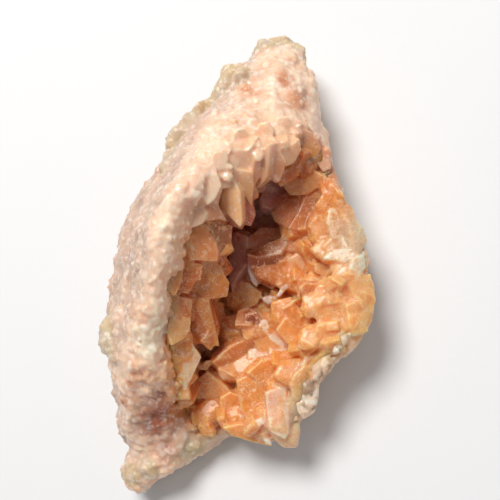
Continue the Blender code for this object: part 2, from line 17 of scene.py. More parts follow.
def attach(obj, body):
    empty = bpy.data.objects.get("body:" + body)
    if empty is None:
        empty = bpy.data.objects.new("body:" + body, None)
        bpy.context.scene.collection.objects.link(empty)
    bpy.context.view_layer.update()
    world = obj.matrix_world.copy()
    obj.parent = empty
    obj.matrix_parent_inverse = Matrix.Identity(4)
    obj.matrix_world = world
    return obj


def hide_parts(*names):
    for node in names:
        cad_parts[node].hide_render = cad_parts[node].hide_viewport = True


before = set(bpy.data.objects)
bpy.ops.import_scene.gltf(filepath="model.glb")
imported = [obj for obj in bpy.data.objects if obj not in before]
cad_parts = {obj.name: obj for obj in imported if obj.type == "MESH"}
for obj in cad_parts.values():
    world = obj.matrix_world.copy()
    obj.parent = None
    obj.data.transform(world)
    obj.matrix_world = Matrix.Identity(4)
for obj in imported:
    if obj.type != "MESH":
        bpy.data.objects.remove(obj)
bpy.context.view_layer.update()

MM = 0.001
SEED = 11

# The camera, in millimetres and in the axes of the part
PICTURE = 500
FOCAL_PIXELS = 800
SENSOR = 36
TARGET = Vector((0.645, 2.019, 12.0))
DISTANCE = 108
RIGHT = Vector((0.9165, 0.3107, -0.2519))
UP = Vector((-0.2555, 0.9394, 0.2288))
BACK = RIGHT.cross(UP).normalized()
EYE = TARGET + BACK * DISTANCE
TO_CAMERA = np.array(BACK)

# Colours by name, as the eye gives them
PAINTS = {
    "plum": (234, 172, 158),
    "garnet": (196, 116, 96),
    "russet": (184, 102, 68),
    "umber": (146, 78, 48),
    "amber": (204, 120, 66),
    "coral": (234, 148, 100),
    "honey": (231, 157, 86),
    "apricot": (244, 178, 115),
    "straw": (240, 184, 128),
    "peach": (238, 190, 150),
    "rose": (236, 200, 178),
    "mauve_brown": (168, 106, 80),
    "cream": (250, 216, 188),
    "blush": (236, 190, 158),
    "stain": (216, 150, 108),
    "lilac": (196, 168, 152),
    "sand": (212, 184, 162),
    "fleck": (250, 236, 222),
    "ash": (206, 190, 170),
    "matrix": (206, 184, 146),
    "olive": (112, 104, 84),
    "saddle": (166, 82, 50),
    "ivory": (255, 231, 203),
    "grey_white": (224, 216, 220),
    "crumb": (112, 64, 38),
    "ember": (132, 52, 28),
}


def paint(name):
    """A named colour as light amounts."""
    values = [channel / 255 for channel in PAINTS[name]]
    return np.array([v / 12.92 if v <= 0.04045 else ((v + 0.055) / 1.055) ** 2.4 for v in values])


# Shader maths


class Flow:
    """A value on its way through a material. Python's operators add Math nodes."""

    def __init__(self, finish, socket):
        self.finish = finish
        self.socket = socket

    def math(self, operation, *values):
        return self.finish.node("Math", {"operation": operation}, values)

    def __add__(self, other):
        return self.math("ADD", self, other)

    def __radd__(self, other):
        return self.math("ADD", other, self)

    def __mul__(self, other):
        return self.math("MULTIPLY", self, other)

    def __rmul__(self, other):
        return self.math("MULTIPLY", other, self)

    def __sub__(self, other):
        return self.math("SUBTRACT", self, other)

    def __rsub__(self, other):
        return self.math("SUBTRACT", other, self)

    def between(self, low, high):
        """0 below low and 1 above high, with a smooth step from one to the other."""
        settings = {"interpolation_type": "SMOOTHSTEP"}
        return self.finish.node("MapRange", settings, {"Value": self, "From Min": low, "From Max": high})


class Finish:
    """A material in the making."""

    def __init__(self, name):
        self.material = bpy.data.materials.new(name)
        self.material.use_nodes = True
        self.tree = self.material.node_tree
        self.shader = self.tree.nodes["Principled BSDF"]
        self.place = self.node("TexCoord", {}, {}, "Object")

    def node(self, kind, settings, inputs, output=0):
        """Adds a node of a kind, sets it, feeds its sockets, and gives one of its outputs."""
        node = self.tree.nodes.new("ShaderNode" + kind)
        for name, value in settings.items():
            setattr(node, name, value)
        pairs = inputs.items() if isinstance(inputs, dict) else enumerate(inputs)
        for name, value in pairs:
            self.feed(node.inputs[name], value)
        return Flow(self, node.outputs[output])

    def feed(self, socket, value):
        if isinstance(value, Flow):
            self.tree.links.new(value.socket, socket)
        else:
            socket.default_value = value

    def noise(self, size, detail, roughness=0.55):
        """Cloudy noise with features of a size in millimetres."""
        inputs = {"Vector": self.place, "Scale": 1 / (size * MM), "Detail": detail, "Roughness": roughness}
        return self.node("TexNoise", {}, inputs, "Fac")

    def cells(self, size, feature="F1", output="Distance", place=None):
        """Distance to the middle, or another fact, of cells of a size in millimetres."""
        inputs = {"Vector": place or self.place, "Scale": 1 / (size * MM)}
        return self.node("TexVoronoi", {"feature": feature}, inputs, output)

    def cell_values(self, size):
        """A value from 0 to 1, drawn for each cell of a size in millimetres."""
        return self.node("SeparateColor", {}, {"Color": self.cells(size, output="Color")}, "Red")

    def warped(self, size, amount):
        """The place moved about by noise, both in millimetres."""
        drift = self.node("TexNoise", {}, {"Vector": self.place, "Scale": 1 / (size * MM)}, "Color")
        centred = self.node("VectorMath", {"operation": "SUBTRACT"}, [drift, (0.5, 0.5, 0.5)])
        scaled = self.node("VectorMath", {"operation": "SCALE"}, {0: centred, "Scale": 2 * amount * MM})
        return self.node("VectorMath", {"operation": "ADD"}, [self.place, scaled])

    def blend(self, factor, first, second, mode="MIX"):
        """Two colours mixed. The node has sockets of each kind, and those of its colours are 6, 7 and 2."""
        settings = {"data_type": "RGBA", "blend_type": mode}
        return self.node("Mix", settings, {0: factor, 6: first, 7: second}, 2)

    def dimmed(self, colour, amount):
        """A colour multiplied by a value."""
        return self.node("VectorMath", {"operation": "SCALE"}, {0: colour, "Scale": amount})

    def tint(self):
        """The colour stored on the mesh."""
        return self.node("Attribute", {"attribute_name": "tint"}, {}, "Color")

    def gloss(self):
        """The gloss stored on the mesh, from 0 to 1."""
        return self.node("Attribute", {"attribute_name": "tint"}, {}, "Alpha")

    def relief(self, height, depth, strength):
        """Bumps of a depth in millimetres."""
        return self.node("Bump", {}, {"Height": height, "Distance": depth * MM, "Strength": strength})

    def set(self, **values):
        """Sets the shader's sockets, named with _ for a space."""
        for name, value in values.items():
            self.feed(self.shader.inputs[name.replace("_", " ")], value)
        return self.material


# Colours of the finishes' marks, as light amounts: the first is a painted sparkle on the stone's grains, and
# the others are colours that the crystals' marks have of their own
PAINTED_SPARKLE = (0.95, 0.86, 0.78, 1)
DEPTH = (0.85, 0.66, 0.46, 1)
RUST = (0.72, 0.2, 0.05, 1)
VEIN = (0.98, 0.82, 0.64, 1)
FROSTED = (0.95, 0.72, 0.5, 1)
SPECK = (0.2, 0.06, 0.02, 1)


def stone_finish():
    """Sugary stone: pale, a little translucent, with fine grains, some of them glossier and painted with a
    pale sparkle.
    """
    finish = Finish("sugary_stone")
    mottle = finish.noise(1.4, 4)
    grit = finish.noise(0.3, 3, 0.7)
    colour = finish.dimmed(finish.tint(), 0.76 + mottle * 0.2 + grit * 0.28)
    # Painted sparkle: random cells of the grains are made paler and glossier, as sparkles of light
    painted_sparkle = finish.cell_values(0.34).between(0.86, 0.95)
    colour = finish.blend(painted_sparkle * 0.3, colour, PAINTED_SPARKLE)
    gloss = finish.gloss()
    return finish.set(
        Base_Color=colour, Roughness=0.6 - painted_sparkle * 0.2 - gloss * 0.36, Subsurface_Weight=0.65,
        Subsurface_Scale=1.8 * MM, Subsurface_Radius=(1.0, 0.5, 0.32), IOR=1.55,
        Normal=finish.relief(grit * (1.0 - gloss * 0.7), 0.05, 0.5))


def crystal_finish():
    """Orange crystals: glossy and satin faces over a translucent body, with frosted patches and specks."""
    finish = Finish("orange_crystal")
    cloud = finish.noise(2.0, 3)
    veil = finish.noise(0.4, 4, 0.7)
    colour = finish.dimmed(finish.tint(), 0.66 + cloud * 0.3 + veil * 0.48)
    depth = finish.noise(1.1, 4, 0.65).between(0.48, 0.7)
    colour = finish.blend(depth * 0.65, colour, DEPTH, "MULTIPLY")
    rust = finish.noise(2.6, 2).between(0.5, 0.62) * finish.noise(0.3, 4, 0.8).between(0.53, 0.6)
    colour = finish.blend(rust * 0.6, colour, RUST)
    crack = 1.0 - finish.cells(2.4, "DISTANCE_TO_EDGE", place=finish.warped(0.9, 0.35)).between(0.0, 0.035)
    broken = crack * finish.noise(0.7, 3, 0.7).between(0.45, 0.6)
    colour = finish.blend(broken * 0.45, colour, VEIN)
    frosted = finish.noise(1.8, 3).between(0.46, 0.62) * finish.noise(0.22, 3, 0.7).between(0.48, 0.6)
    colour = finish.blend(frosted * 0.5, colour, FROSTED)
    speck = 1.0 - finish.cells(1.3).between(0.03, 0.06)
    colour = finish.blend(speck * 0.5, colour, SPECK)
    domain = finish.cell_values(2.2)
    return finish.set(
        Base_Color=colour, Roughness=0.13 + domain * 0.2 + veil * 0.16 + frosted * 0.25,
        Subsurface_Weight=0.95, Subsurface_Scale=3.2 * MM, Subsurface_Radius=(1.0, 0.48, 0.24), IOR=1.52,
        Specular_IOR_Level=0.34, Coat_Weight=domain.between(0.3, 0.9) * 0.3, Coat_Roughness=0.12,
        Coat_IOR=1.5, Normal=finish.relief(finish.noise(0.25, 4, 0.7), 0.04, 0.5))


# Where a pixel's line of sight meets the solids


def sight(pixel):
    """The direction from the camera through a pixel."""
    x, y = pixel
    half = PICTURE / 2
    return (RIGHT * (x - half) / FOCAL_PIXELS - UP * (y - half) / FOCAL_PIXELS - BACK).normalized()


def pixels_of(places):
    """Where places are in the picture."""
    offset = places - np.array(EYE)
    reach = -(offset @ TO_CAMERA)
    across, up = offset @ np.array(RIGHT) / reach, offset @ np.array(UP) / reach
    return PICTURE / 2 + FOCAL_PIXELS * np.stack((across, -up), 1)


def inside(pixels, corners, margin):
    """Which pixels are inside an outline, made larger by a margin."""
    corners = np.array(corners, float)
    middle = corners.mean(0)
    corners = middle + (corners - middle) * margin
    within = np.zeros(len(pixels), bool)
    x, y = pixels.T
    for (x0, y0), (x1, y1) in zip(corners, np.roll(corners, -1, axis=0)):
        crosses = (y0 > y) != (y1 > y)
        with np.errstate(divide="ignore", invalid="ignore"):
            within ^= crosses & (x < x0 + (y - y0) * (x1 - x0) / (y1 - y0))
    return within


def cad_shape(node):
    """Places and faces of a CAD node."""
    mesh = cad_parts[node].data
    places = [vert.co / MM for vert in mesh.vertices]
    return places, [list(polygon.vertices) for polygon in mesh.polygons]


def tree_of(*nodes):
    """A search tree of CAD nodes."""
    places, faces = [], []
    for node in nodes:
        more_places, more_faces = cad_shape(node)
        faces += [[len(places) + i for i in face] for face in more_faces]
        places += more_places
    return BVHTree.FromPolygons(places, faces)


SOLIDS = tree_of("geode_wall", "crystal_crust")
WALL = tree_of("geode_wall")
CRUST = tree_of("crystal_crust")


def seen(pixel, tree=SOLIDS):
    """Where a pixel's line of sight meets the solids, or comes nearest to them beside their outline."""
    ray = sight(pixel)
    hit = tree.ray_cast(EYE, ray)[0]
    return hit or tree.find_nearest(EYE + ray * DISTANCE)[0]


# Making meshes


def to_mesh(name, places, faces, tints, gloss=1.0):
    """A mesh from places in millimetres, with a colour and a gloss at each."""
    mesh = bpy.data.meshes.new(name)
    mesh.from_pydata((np.asarray(places) * MM).tolist(), [], faces)
    layer = mesh.color_attributes.new("tint", "FLOAT_COLOR", "POINT")
    values = np.ones((len(mesh.vertices), 4), np.float32)
    values[:, :3] = tints
    values[:, 3] = gloss
    layer.data.foreach_set("color", values.ravel())
    return mesh


def placed(name, data):
    """A new object in the scene."""
    obj = bpy.data.objects.new(name, data)
    bpy.context.scene.collection.objects.link(obj)
    return obj


def piece(name, mesh, material, replaced):
    """A finished piece of the specimen, on its body."""
    obj = placed(name, mesh)
    mesh.name = name
    mesh.materials.append(material)
    mesh.shade_smooth()
    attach(obj, "root")
    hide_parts(replaced)


def thinned(mesh):
    """A mesh thinned out to the triangles of a piece, its flat faces first."""
    obj = placed("dense", mesh)
    thin = obj.modifiers.new("thin", "DECIMATE")
    thin.ratio = min(1.0, PIECE_TRIANGLES / (2 * len(mesh.polygons)))
    result = bpy.data.meshes.new_from_object(obj.evaluated_get(bpy.context.evaluated_depsgraph_get()))
    bpy.data.objects.remove(obj)
    drop_bubbles(result)
    return result


def drop_bubbles(mesh):
    """Deletes the few faces inside a mesh that nothing joins to its surface, which its top is part of."""
    shape = bmesh.new()
    shape.from_mesh(mesh)
    top = max(shape.verts, key=lambda vert: vert.co.z)
    joined, waiting = {top}, [top]
    while waiting:
        vert = waiting.pop()
        fresh = {edge.other_vert(vert) for edge in vert.link_edges} - joined
        joined |= fresh
        waiting += fresh
    bubbles = [vert for vert in shape.verts if vert not in joined]
    bmesh.ops.delete(shape, geom=bubbles, context="VERTS")
    shape.to_mesh(mesh)
    shape.free()


def smoothed(places, faces, rounds):
    """Places moved half way to the middle of their neighbours, a number of times."""
    count = len(places)
    pairs = np.concatenate([faces[:, [i, (i + 1) % 4]] for i in range(4)])
    weights = np.bincount(pairs[:, 0], minlength=count) + np.bincount(pairs[:, 1], minlength=count)
    for _ in range(rounds):
        total = np.zeros_like(places)
        for axis in range(3):
            total[:, axis] += np.bincount(pairs[:, 0], places[pairs[:, 1], axis], count)
            total[:, axis] += np.bincount(pairs[:, 1], places[pairs[:, 0], axis], count)
        places = places + 0.5 * (total / weights[:, None] - places)
    return places


def normals_of(places, faces):
    """Unit normals at the places of a quad mesh."""
    spans = np.cross(places[faces[:, 2]] - places[faces[:, 0]], places[faces[:, 3]] - places[faces[:, 1]])
    total = np.zeros_like(places)
    for corner in range(4):
        for axis in range(3):
            total[:, axis] += np.bincount(faces[:, corner], spans[:, axis], len(places))
    return total / np.maximum(np.linalg.norm(total, axis=1), 1e-9)[:, None]


def falloff(distance, reach):
    """1 at no distance, falling smoothly to 0 at the reach."""
    t = np.clip(1 - distance / reach, 0, 1)
    return t * t * (3 - 2 * t)


def line_distance(places, line):
    """How far places are from a line through points."""
    best = np.full(len(places), np.inf)
    for start, end in zip(line, line[1:]):
        start, along = np.array(start), np.array(end) - np.array(start)
        t = np.clip((places - start) @ along / (along @ along), 0, 1)
        best = np.minimum(best, np.linalg.norm(places - start - t[:, None] * along, axis=1))
    return best


def distances(places, spot):
    """How far places are from a spot."""
    return np.linalg.norm(places - np.array(spot), axis=1)


def mixed(tints, colour, share):
    """Colours with a share of another mixed in."""
    return tints * (1 - share) + colour * share


def drawn(rng, weights, count, again=False):
    """Numbers drawn by their weights, each only once or again and again."""
    return rng.choice(len(weights), count, replace=again, p=weights / weights.sum())


def unit(vectors):
    """Vectors made one long."""
    return vectors / np.maximum(np.linalg.norm(vectors, axis=-1), 1e-9)[..., None]


def noises(places, size, seed):
    """Cloudy noise of a size at places."""
    shift = Vector((seed * 17.3, seed * 5.1, seed * 9.7))
    spots = [Vector(place) / size + shift for place in places]
    return np.array([noise.fractal(spot, 0.8, 2.0, 3) for spot in spots])


def mounds(places, size, seed):
    """Rounded mounds of a size: 1 at the middle of each and 0 between them."""
    shift = Vector((seed * 3.7, seed * 11.9, seed * 7.3))
    heights = np.empty(len(places))
    for i, place in enumerate(places):
        near = noise.voronoi(Vector(place) / size + shift)[0]
        heights[i] = min(1.0, 1.6 * (near[1] - near[0]))
    return heights


# Small crystals

# The faces of a small crystal: a box whose far end is cut to a ridge
SMALL_SIDES = np.array([
    (3, 2, 1, 0), (0, 1, 5, 4), (1, 2, 6, 5), (2, 3, 7, 6), (3, 0, 4, 7), (4, 5, 9, 8), (6, 7, 8, 9),
])
SMALL_ENDS = np.array([(5, 6, 9), (7, 4, 8)])
ROOT_SHARE = 0.6
SHOULDER_SHARE = 0.5


def small_crystals(rng, places, axes, wide, thin, tall, facing=None):
    """Places and faces of many small crystals, standing at places along axes, with their three sizes.

    facing is where their broad faces look, and is left to chance without it.
    """
    count = len(places)
    ridge = wide * rng.uniform(0.02, 0.35, count)
    slip = wide * rng.uniform(-0.3, 0.3, count)
    shape = np.zeros((count, 10, 3))
    for corner, (side, face) in enumerate(((-1, -1), (1, -1), (1, 1), (-1, 1))):
        for ring, level in ((0, -ROOT_SHARE), (4, SHOULDER_SHARE)):
            shape[:, corner + ring] = np.stack((side * wide / 2, face * thin / 2, level * tall), 1)
    for corner, side in ((8, -1), (9, 1)):
        shape[:, corner] = np.stack((slip + side * ridge, 0 * ridge, tall), 1)
    axes = unit(axes)
    across = unit(np.cross(axes, rng.normal(size=(count, 3)) if facing is None else facing))
    aside = np.cross(axes, across)
    turned = (
        shape[..., :1] * across[:, None] + shape[..., 1:2] * aside[:, None] + shape[..., 2:] * axes[:, None])
    turned += np.asarray(places)[:, None]
    starts = 10 * np.arange(count)[:, None, None]
    sides, ends = SMALL_SIDES + starts, SMALL_ENDS + starts
    faces = [face for crystal in zip(sides.tolist(), ends.tolist()) for part in crystal for face in part]
    return turned.reshape(-1, 3), faces, np.repeat(np.arange(count), len(SMALL_SIDES) + len(SMALL_ENDS))


class Cluster:
    """Solids that are to become one skin, each with a number of its own that its faces remember."""

    def __init__(self):
        self.places = []
        self.faces = []
        self.owners = []
        self.count = 0

    def add(self, places, faces, owners=None):
        """Adds solids, and gives the number of the first."""
        start, first = len(self.places), self.count
        owners = np.zeros(len(faces), int) if owners is None else owners
        self.places += np.asarray(places).tolist()
        self.faces += [[start + i for i in face] for face in faces]
        self.owners += (owners + first).tolist()
        self.count += int(owners.max()) + 1
        return first

    def skin(self, voxel):
        """Places and faces of one skin of small quads round all the solids."""
        mesh = bpy.data.meshes.new("rough")
        mesh.from_pydata((np.array(self.places) * MM).tolist(), [], self.faces)
        rough = placed("rough", mesh)
        remesh = rough.modifiers.new("skin", "REMESH")
        remesh.mode = "VOXEL"
        remesh.voxel_size = voxel * MM
        fine = rough.evaluated_get(bpy.context.evaluated_depsgraph_get()).to_mesh()
        places = np.empty(len(fine.vertices) * 3)
        fine.vertices.foreach_get("co", places)
        corners = np.empty(len(fine.polygons) * 4, int)
        fine.loops.foreach_get("vertex_index", corners)
        bpy.data.objects.remove(rough)
        return places.reshape(-1, 3) / MM, corners.reshape(-1, 4)

    def owners_at(self, places):
        """The number of the solid that each place is on."""
        tree = BVHTree.FromPolygons(self.places, self.faces)
        owners = np.array(self.owners)
        return owners[[tree.find_nearest(place)[2] for place in places]]


def convexity(places, faces, reach, rounds=3):
    """How far places stand out from the smoothed surface, from -1 in a crevice to 1 on an edge."""
    soft = smoothed(places, faces, rounds)
    out = ((places - soft) * normals_of(soft, faces)).sum(1)
    return np.clip(out / reach, -1, 1)


# The stone wall

# The crest's middle line and the lip that hangs over the hollow
CREST = [
    (-6.6, -32, 6), (-6.0, -26, 10.2), (-6.4, -21, 14.5), (-5.9, -15, 20.6), (-6.0, -11, 22.8),
    (-6.2, -6, 25), (-6.6, -1, 26.4), (-6.1, 4, 26.5), (-4.7, 10.5, 24.3), (-4.1, 16, 21),
    (-3.9, 21, 18.2), (-4.4, 28, 14.4), (-5.5, 31.5, 11.8),
]
LIP = [
    (-2.3, -18, 14), (-3.7, -15, 16.6), (-4.5, -12, 18.4), (-5.0, -8, 20), (-5.2, -3.6, 21.4),
    (-4.7, 1, 22), (-3.1, 6, 21.6), (-0.9, 9, 21), (0.1, 11.5, 20.4), (2.1, 13, 19.6),
    (4.1, 14.5, 18.6), (4.6, 16.5, 17.6),
]

# How wide the sugary crest and the lip are to each side of their lines
CREST_REACH = 10
LIP_REACH = 5.5

# How fine the skins are, and how many triangles a finished piece keeps
ROUGH_VOXEL = 0.4
WALL_VOXEL = 0.17
SOFT_VOXEL = 0.25
FROST_VOXEL = 0.25
BED_VOXEL = 0.15
PIECE_TRIANGLES = 195000

# How many small crystals there are of each kind, and crumbs on each block of the rim
SUGAR_GRAINS = 17000
LIP_CRYSTALS = 520
SEAM_CRYSTALS = 520
BED_CRYSTALS = 260
FROST_GRAINS = 3000
CRUMBS = 34
CRUMB_SHADES = ["matrix", "cream", "ivory", "ivory", "fleck", "fleck", "ash", "olive"]

# The blocks of the rim that crumbs lie on, and how dark the crumbs of its pit are
CRUMBED = ["cream_block", "rim_crumbs", "rim_pit", "rim_high"]
PIT_SHADE = 0.4

# How near the crystals' bed comes to the wall before it grows to meet it
MEETING_REACH = 1.8

# How far a small edge and a deep hollow stand out from the smoothed surface
EDGE_DEPTH = 0.1
HOLLOW_DEPTH = 0.8

# Painted glow and shade in crevices: how much brighter or darker they are made, in red, green and blue, as
# light that got into the crystals or the stone comes out of them redder
DEEP_GLOW = np.array((0.05, -0.1, -0.25))
STONE_CREVICE_SHADE = np.array((-0.02, -0.14, -0.24))

# The share of their own colours that the crystals told apart have, and how many pixels from its root a
# crystal of the lip takes to get it
OWN_SHARE = 0.65
ROOT_FADE = 22

# The middle of the specimen, in pixels
MIDDLE_PIXEL = np.array((250, 280))

# Nodules of matrix on the outside: pixel, radius, and how far their middle is behind the surface there
NODULES = [
    ((229, 73), 1.5, 0.6), ((236, 65), 1.1, 0.5), ((223, 83), 1.4, 0.6), ((220, 93), 1.0, 0.5),
    ((200, 108), 1.4, 0.6), ((208, 104), 1.1, 0.5), ((193, 118), 1.0, 0.5), ((177, 134), 1.3, 0.6),
    ((172, 145), 1.3, 0.6), ((169, 156), 1.2, 0.6), ((165, 167), 1.0, 0.5), ((109, 325), 1.5, 0.6),
    ((108, 335), 1.6, 0.6), ((110, 346), 1.4, 0.6), ((113, 356), 1.0, 0.5), ((265, 49), 1.4, 0.5),
    ((272, 43), 1.2, 0.5), ((281, 42), 1.2, 0.5), ((290, 45), 1.1, 0.4), ((299, 50), 0.9, 0.3),
    ((134, 474), 1.3, 0.6), ((150, 468), 1.2, 0.5), ((196, 447), 1.1, 0.4),
]

# Where the cream of the crest gives way to the lilac flank, in pixels
FLANK_EDGE = [
    (215, 118), (196, 140), (183, 167), (167, 193), (152, 220), (148, 237), (152, 270), (150, 285),
    (133, 305), (126, 330), (123, 350), (118, 375), (122, 410), (130, 440),
]

# Patches of colour on the wall: pixel, reach in millimetres, colour, strength. Those at (148, 345), (165,
# 298), (170, 372), (116, 372) and (118, 312) are partly painted light: they are lighter to lift parts of the
# lower crest and flank that the lamp leaves in shade
PATCHES = [
    ((282, 78), 2.4, "stain", 1.0), ((284, 84), 1.3, "amber", 0.6), ((246, 90), 2.2, "stain", 0.9),
    ((228, 105), 2.6, "lilac", 0.5), ((300, 97), 3.4, "stain", 1.0), ((296, 104), 1.6, "amber", 0.5),
    ((305, 140), 3.4, "saddle", 0.6), ((300, 120), 4.0, "blush", 0.6), ((322, 75), 2.4, "lilac", 0.5),
    ((326, 110), 3.0, "lilac", 0.7), ((330, 140), 3.0, "peach", 0.5), ((172, 140), 2.6, "matrix", 0.9),
    ((168, 156), 2.0, "matrix", 0.8), ((199, 106), 2.4, "matrix", 0.9), ((226, 72), 2.6, "matrix", 0.9),
    ((219, 88), 2.0, "matrix", 0.9), ((218, 92), 1.0, "stain", 0.6), ((262, 46), 2.6, "ash", 0.9),
    ((275, 38), 2.2, "ash", 0.9), ((302, 50), 2.2, "ash", 0.7), ((166, 164), 1.4, "olive", 0.8),
    ((259, 50), 1.2, "olive", 0.6), ((171, 134), 0.9, "olive", 0.6), ((106, 333), 3.4, "matrix", 0.6),
    ((116, 372), 4.4, "cream", 0.7), ((118, 312), 3.4, "cream", 0.7), ((140, 315), 3.4, "stain", 0.3),
    ((148, 345), 4.6, "ivory", 0.9), ((140, 377), 3.4, "stain", 0.7), ((170, 372), 4.2, "peach", 0.8),
    ((130, 400), 3.0, "stain", 0.5), ((262, 118), 2.2, "straw", 0.5), ((232, 122), 2.0, "stain", 0.35),
    ((160, 408), 4.6, "saddle", 1.0), ((180, 418), 3.4, "saddle", 0.55), ((166, 420), 3.4, "russet", 0.8),
    ((142, 424), 4.0, "saddle", 0.65), ((155, 396), 2.0, "saddle", 0.6), ((190, 440), 4.0, "ash", 0.6),
    ((165, 450), 3.0, "saddle", 0.6), ((145, 462), 3.6, "cream", 0.5), ((135, 480), 3.0, "stain", 0.6),
    ((188, 455), 3.0, "matrix", 0.6), ((342, 215), 4.0, "ash", 0.5), ((312, 405), 3.4, "ivory", 0.9),
    ((322, 375), 3.4, "matrix", 0.8), ((309, 389), 1.3, "umber", 0.9), ((323, 357), 1.2, "umber", 0.8),
    ((335, 356), 2.4, "olive", 0.5), ((212, 205), 2.6, "apricot", 0.5), ((196, 235), 2.6, "apricot", 0.5),
    ((182, 262), 2.6, "apricot", 0.5), ((178, 290), 2.6, "apricot", 0.5), ((176, 320), 3.0, "apricot", 0.7),
    ((172, 350), 3.4, "apricot", 0.8), ((165, 298), 3.6, "ivory", 0.9), ((160, 330), 3.4, "ivory", 0.7),
    ((188, 345), 2.4, "apricot", 0.6), ((186, 395), 2.4, "apricot", 0.5), ((250, 135), 3.0, "straw", 0.4),
    ((285, 140), 2.6, "straw", 0.5),
]

# Colours of the hollow: pixel, colour, reach in millimetres
GLOW = [
    ((272, 200), "plum", 4.0), ((255, 215), "garnet", 3.0), ((245, 238), "garnet", 3.0),
    ((240, 255), "mauve_brown", 2.6), ((232, 232), "russet", 3.0), ((205, 245), "apricot", 3.0),
    ((205, 280), "amber", 4.0), ((300, 178), "amber", 4.0), ((300, 205), "amber", 4.5),
    ((325, 215), "honey", 4.0), ((270, 270), "amber", 4.0), ((300, 260), "honey", 5.0),
    ((340, 260), "straw", 5.0), ((330, 300), "apricot", 6.0), ((290, 310), "honey", 5.0),
    ((250, 318), "mauve_brown", 2.6), ((215, 350), "russet", 2.6), ((205, 320), "amber", 3.5),
    ((250, 350), "honey", 5.0), ((210, 385), "amber", 3.5), ((185, 360), "honey", 4.0),
    ((290, 350), "honey", 5.0), ((215, 412), "honey", 4.0), ((250, 410), "honey", 4.0),
    ((280, 425), "peach", 4.0), ((345, 330), "apricot", 4.0), ((352, 240), "ash", 3.5),
    ((215, 185), "peach", 4.0), ((262, 165), "peach", 4.0),
]

# Dark specks on the crystals: pixel and reach
SPECKS = [
    ((290, 262), 0.20), ((331, 241), 0.36), ((325, 261), 0.20), ((292, 291), 0.21), ((312, 297), 0.20),
    ((330, 293), 0.20), ((336, 285), 0.21), ((326, 305), 0.20), ((356, 249), 0.24), ((352, 230), 0.21),
    ((307, 240), 0.30), ((313, 246), 0.20), ((322, 240), 0.21), ((340, 247), 0.21), ((318, 261), 0.20),
    ((243, 397), 0.21), ((272, 380), 0.20),
]


def glow_tints(places):
    """Colour of the crystals by place, between the named spots."""
    total = np.zeros((len(places), 3))
    weights = np.full(len(places), 1e-6)
    for pixel, name, reach in GLOW:
        share = np.exp(-(distances(places, seen(pixel)) / (0.7 * reach)) ** 2) + 1e-5
        total += share[:, None] * paint(name)
        weights += share
    return total / weights[:, None]


def creaminess(places, wander):
    """1 on the crest and towards the hollow, 0 on the outer flank, by the edge read from the picture."""
    edge = np.array([seen(pixel, WALL) for pixel in FLANK_EDGE])
    edge = edge[edge[:, 1].argsort()]
    side = places[:, 0] + wander - np.interp(places[:, 1], edge[:, 1], edge[:, 0])
    return np.clip(0.5 + side / 2.2, 0, 1)


def wall_tints(places):
    """Colour of the stone by place: cream along the crest, lilac on the flank, and patches."""
    wide_clouds, clouds, small_clouds = noises(places, 4.5, 1), noises(places, 3.0, 2), noises(places, 2.0, 3)
    crest = creaminess(places, small_clouds)[:, None]
    sandy = np.clip(0.5 + 1.3 * clouds, 0, 1)[:, None]
    tints = mixed(mixed(paint("lilac"), paint("sand"), sandy), paint("cream"), crest)
    blush = np.clip(0.4 + 1.2 * wide_clouds, 0, 1)[:, None] * (0.35 + 0.35 * crest)
    tints = mixed(tints, paint("blush"), blush)
    lip = falloff(line_distance(places, LIP), LIP_REACH)[:, None]
    tints = mixed(tints, paint("peach"), 0.75 * lip)
    base = falloff(places[:, 2], 6)[:, None]
    tints = mixed(tints, paint("matrix") * 0.85, 0.6 * base)
    wander = 1 + 0.6 * small_clouds
    for pixel, reach, name, strength in PATCHES:
        share = falloff(distances(places, seen(pixel, WALL)) * wander, reach)[:, None]
        tints = mixed(tints, paint(name), strength * share)
    earthy = np.clip(0.3 + small_clouds, 0, 0.8)[:, None]
    earth = mixed(paint("matrix"), paint("ash") * 0.9, earthy)
    for pixel, radius, sink in NODULES:
        out = distances(places, nodule_middle(pixel, radius, sink)) - radius
        tints = mixed(tints, earth, 0.85 * falloff(out, 0.9)[:, None])
    gap = np.array([CRUST.find_nearest(place, 5.0)[3] or 5.0 for place in places])
    return mixed(tints, glow_tints(places), falloff(gap, 2.8)[:, None])


def nodule_middle(pixel, radius, sink):
    """The middle of a nodule, near its pixel's line of sight and always partly in the stone."""
    middle = EYE + sight(pixel) * ((seen(pixel, WALL) - EYE).length + sink)
    surface = WALL.find_nearest(middle)[0]
    out = middle - surface
    return surface + out * min(1.0, 0.55 * radius / max(out.length, 1e-6))


def rough_wall():
    """The solid of the wall made smooth and then lumpy, as the stone under its crystals."""
    base = Cluster()
    base.add(*cad_shape("geode_wall"))
    for pixel, radius, sink in NODULES:
        middle = nodule_middle(pixel, radius, sink)
        ball = bmesh.new()
        bmesh.ops.create_icosphere(ball, subdivisions=3, radius=radius, matrix=Matrix.Translation(middle))
        ball.verts.index_update()
        ball_faces = [[vert.index for vert in face.verts] for face in ball.faces]
        base.add([vert.co for vert in ball.verts], ball_faces)
        ball.free()
    places, faces = base.skin(ROUGH_VOXEL)
    places = smoothed(places, faces, 10)
    normals = normals_of(places, faces)
    crest = falloff(line_distance(places, CREST), CREST_REACH)
    lift = 0.5 * noises(places, 3.0, 4) + 0.25 * (0.5 + 0.5 * crest) * mounds(places, 1.9, 5) - 0.2
    resting = np.clip((places[:, 2] - 0.4) / 1.5, 0, 1)
    return places + normals * (lift * resting)[:, None], faces


